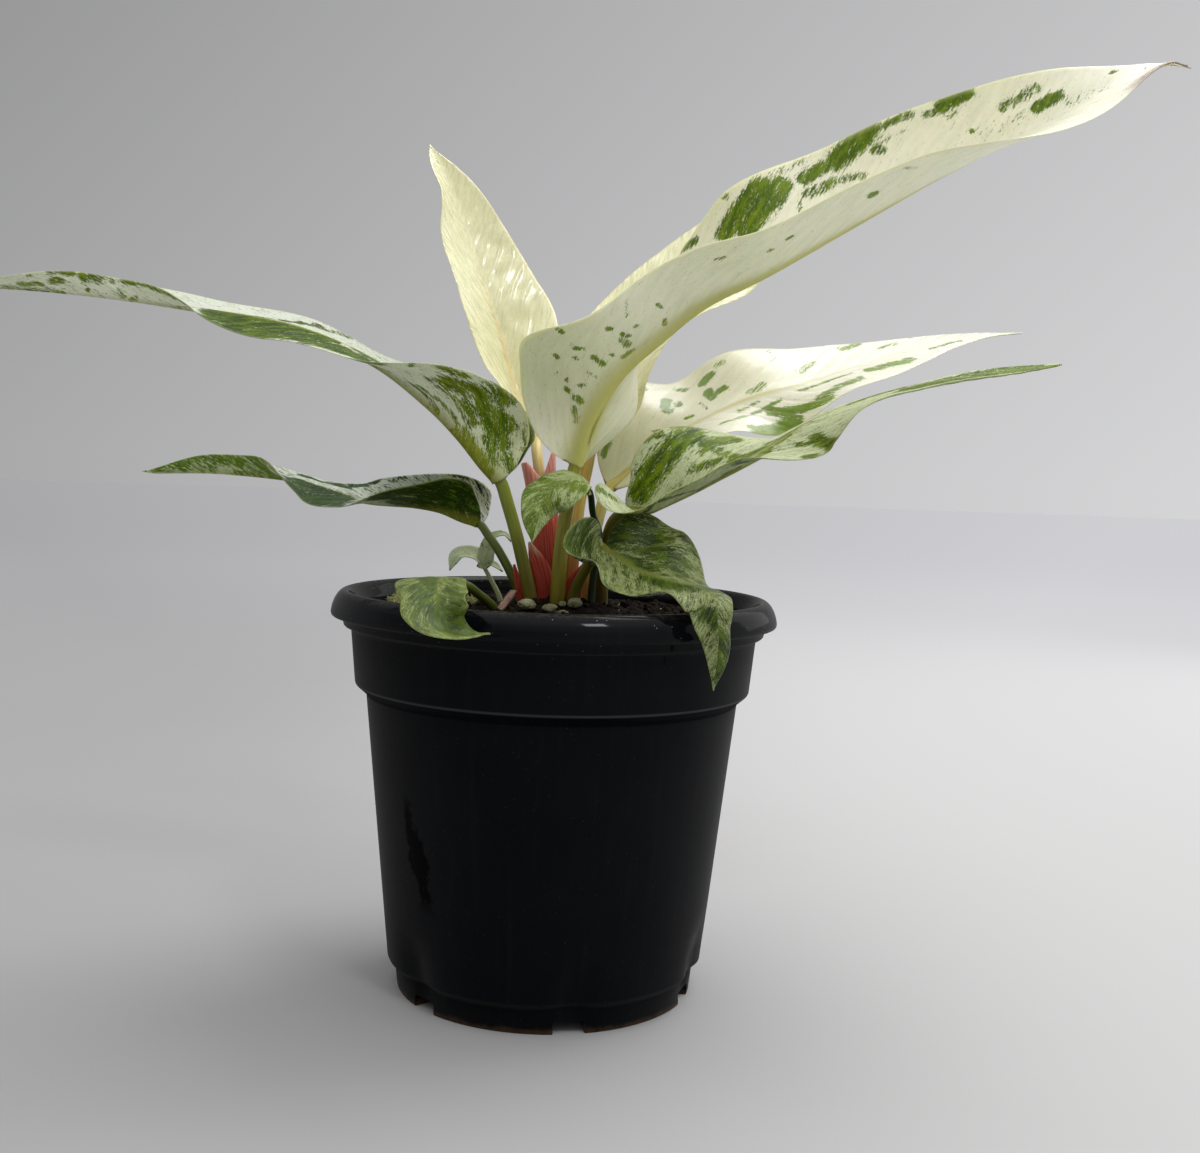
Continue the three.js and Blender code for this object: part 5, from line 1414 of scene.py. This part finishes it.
def area_light(name, place, target, side, power, colour):
    data = bpy.data.lights.new(name, "AREA")
    data.shape, data.size, data.size_y = "RECTANGLE", side, side
    data.energy, data.color = power, colour
    light = placed(name, data)
    light.location = place
    light.rotation_euler = (Vector(target) - Vector(place)).to_track_quat("-Z", "Y").to_euler()


# World: its level straight ahead, its rise to the right as far as the spread, its fall with height
# up to the shoulder, its share in front of the object and what it gains overhead

WORLD_COLOUR = (0.985, 0.985, 1.0, 1)
WORLD_LEVEL, WORLD_RIGHT, WORLD_FALL, WORLD_FRONT, WORLD_ZENITH = 0.53, 0.35, 0.33, 1.05, 0.95
WORLD_SPREAD, WORLD_SHOULDER = 0.42, 0.35


def make_world():
    """Soft studio surroundings: bright overhead and a little brighter to the right."""
    world = bpy.data.worlds.new("studio")
    world.use_nodes = True
    n = Nodes(world.node_tree)
    x, y, z = n.split(n.coordinates("Generated"))
    height = z.at_least(0.0)
    level = x.at_most(WORLD_SPREAD).at_least(-WORLD_SPREAD) * WORLD_RIGHT + WORLD_LEVEL
    level = level - height.at_most(WORLD_SHOULDER) * WORLD_FALL
    level = level * (y.step(-0.6, 0.2) * (1 - WORLD_FRONT) + WORLD_FRONT)
    level = level + height.step(WORLD_SHOULDER, 1.0) * WORLD_ZENITH
    background = n.tree.nodes["Background"]
    n.put(WORLD_COLOUR, background.inputs[0])
    n.put(level, background.inputs[1])
    bpy.context.scene.world = world


FLOOR_REACH = 6.0
# Painted shade near the pot, darker to the left, and far out painted light that follows the world: dimmer
# to the left, brighter to the right
FLOOR_SHADED_LEFT, FLOOR_LIT_RIGHT = srgb(157, 156, 156), srgb(188, 187, 186)
FLOOR_FAR_DIM_LEFT, FLOOR_FAR_BRIGHT_RIGHT = srgb(174, 174, 175), srgb(216, 216, 218)


def make_floor():
    """Pale floor with painted light and shade: painted shade darkens it near the pot, more to the left, and
    far out it takes on the world's level, dimmer to the left and brighter to the right, so that no horizon
    shows in front view.
    """
    n = Skin("floor")
    place = n.coordinates("Object")
    x = n.split(place)[0]
    away = n.signal("ShaderNodeVectorMath", {0: place}, "Value", operation="LENGTH")
    # Painted shade on the left near the pot, lighter to the right
    near = n.mix(FLOOR_SHADED_LEFT, FLOOR_LIT_RIGHT, x.step(-0.2, 0.2))
    near = n.mix(near, FLOOR_LIT_RIGHT, n.noise(place, 4.0, 3) * 0.15)
    heading = x / away.at_least(0.01)
    # Far out the floor is painted with the world's light, dimmer to the left and brighter to the right
    far = n.mix(FLOOR_FAR_DIM_LEFT, FLOOR_FAR_BRIGHT_RIGHT, n.math("ADD", heading * 1.25, 0.5, clamp=True))
    # Painted shade: darker near the pot, lighter far out
    material = n.set(colour=n.mix(near, far, away.step(0.15, 1.6)), roughness=0.9, specular=0.0)
    mesh = bpy.data.meshes.new("floor")
    r = FLOOR_REACH
    mesh.from_pydata([(-r, -r, 0), (r, -r, 0), (r, r, 0), (-r, r, 0)], [], [(0, 1, 2, 3)])
    mesh.materials.append(material)
    floor = placed("floor", mesh)


for leaf_name, leaf in LEAVES.items():
    leaf_piece(leaf_name, leaf, LOOKS[leaf_name])
red_sheath = sheath_material("sheath_red_skin", 31, BLUSH, (2, 12, 22))
pink_sheath = sheath_material("sheath_pink_skin", 37, PINK, (8, 20, 38))
for sheath_name, shape in SHEATHS.items():
    sheath_piece(sheath_name, shape, pink_sheath if "tall" in sheath_name else red_sheath)
seedling_piece()
stone = stone_material()
for pebble_index in range(len(PEBBLES)):
    pebble_piece(pebble_index, stone)
rng = np.random.default_rng(RANDOM_SEED)
moss = moss_material()
moss_piece("moss_left", (-41.5, 12, 97.8), (2.8, 9.5, 2.2), 0, 420, rng, moss)
moss_piece("moss_front", (-22, 6, 98.6), (3.2, 4, 1.6), 20, 260, rng, moss)
wood_chip_piece(rng)
mix_piece(rng)
pot_piece()

make_camera()
make_floor()
make_world()
for light in LIGHTS:
    area_light(*light)
bpy.context.scene.view_settings.view_transform = "Standard"
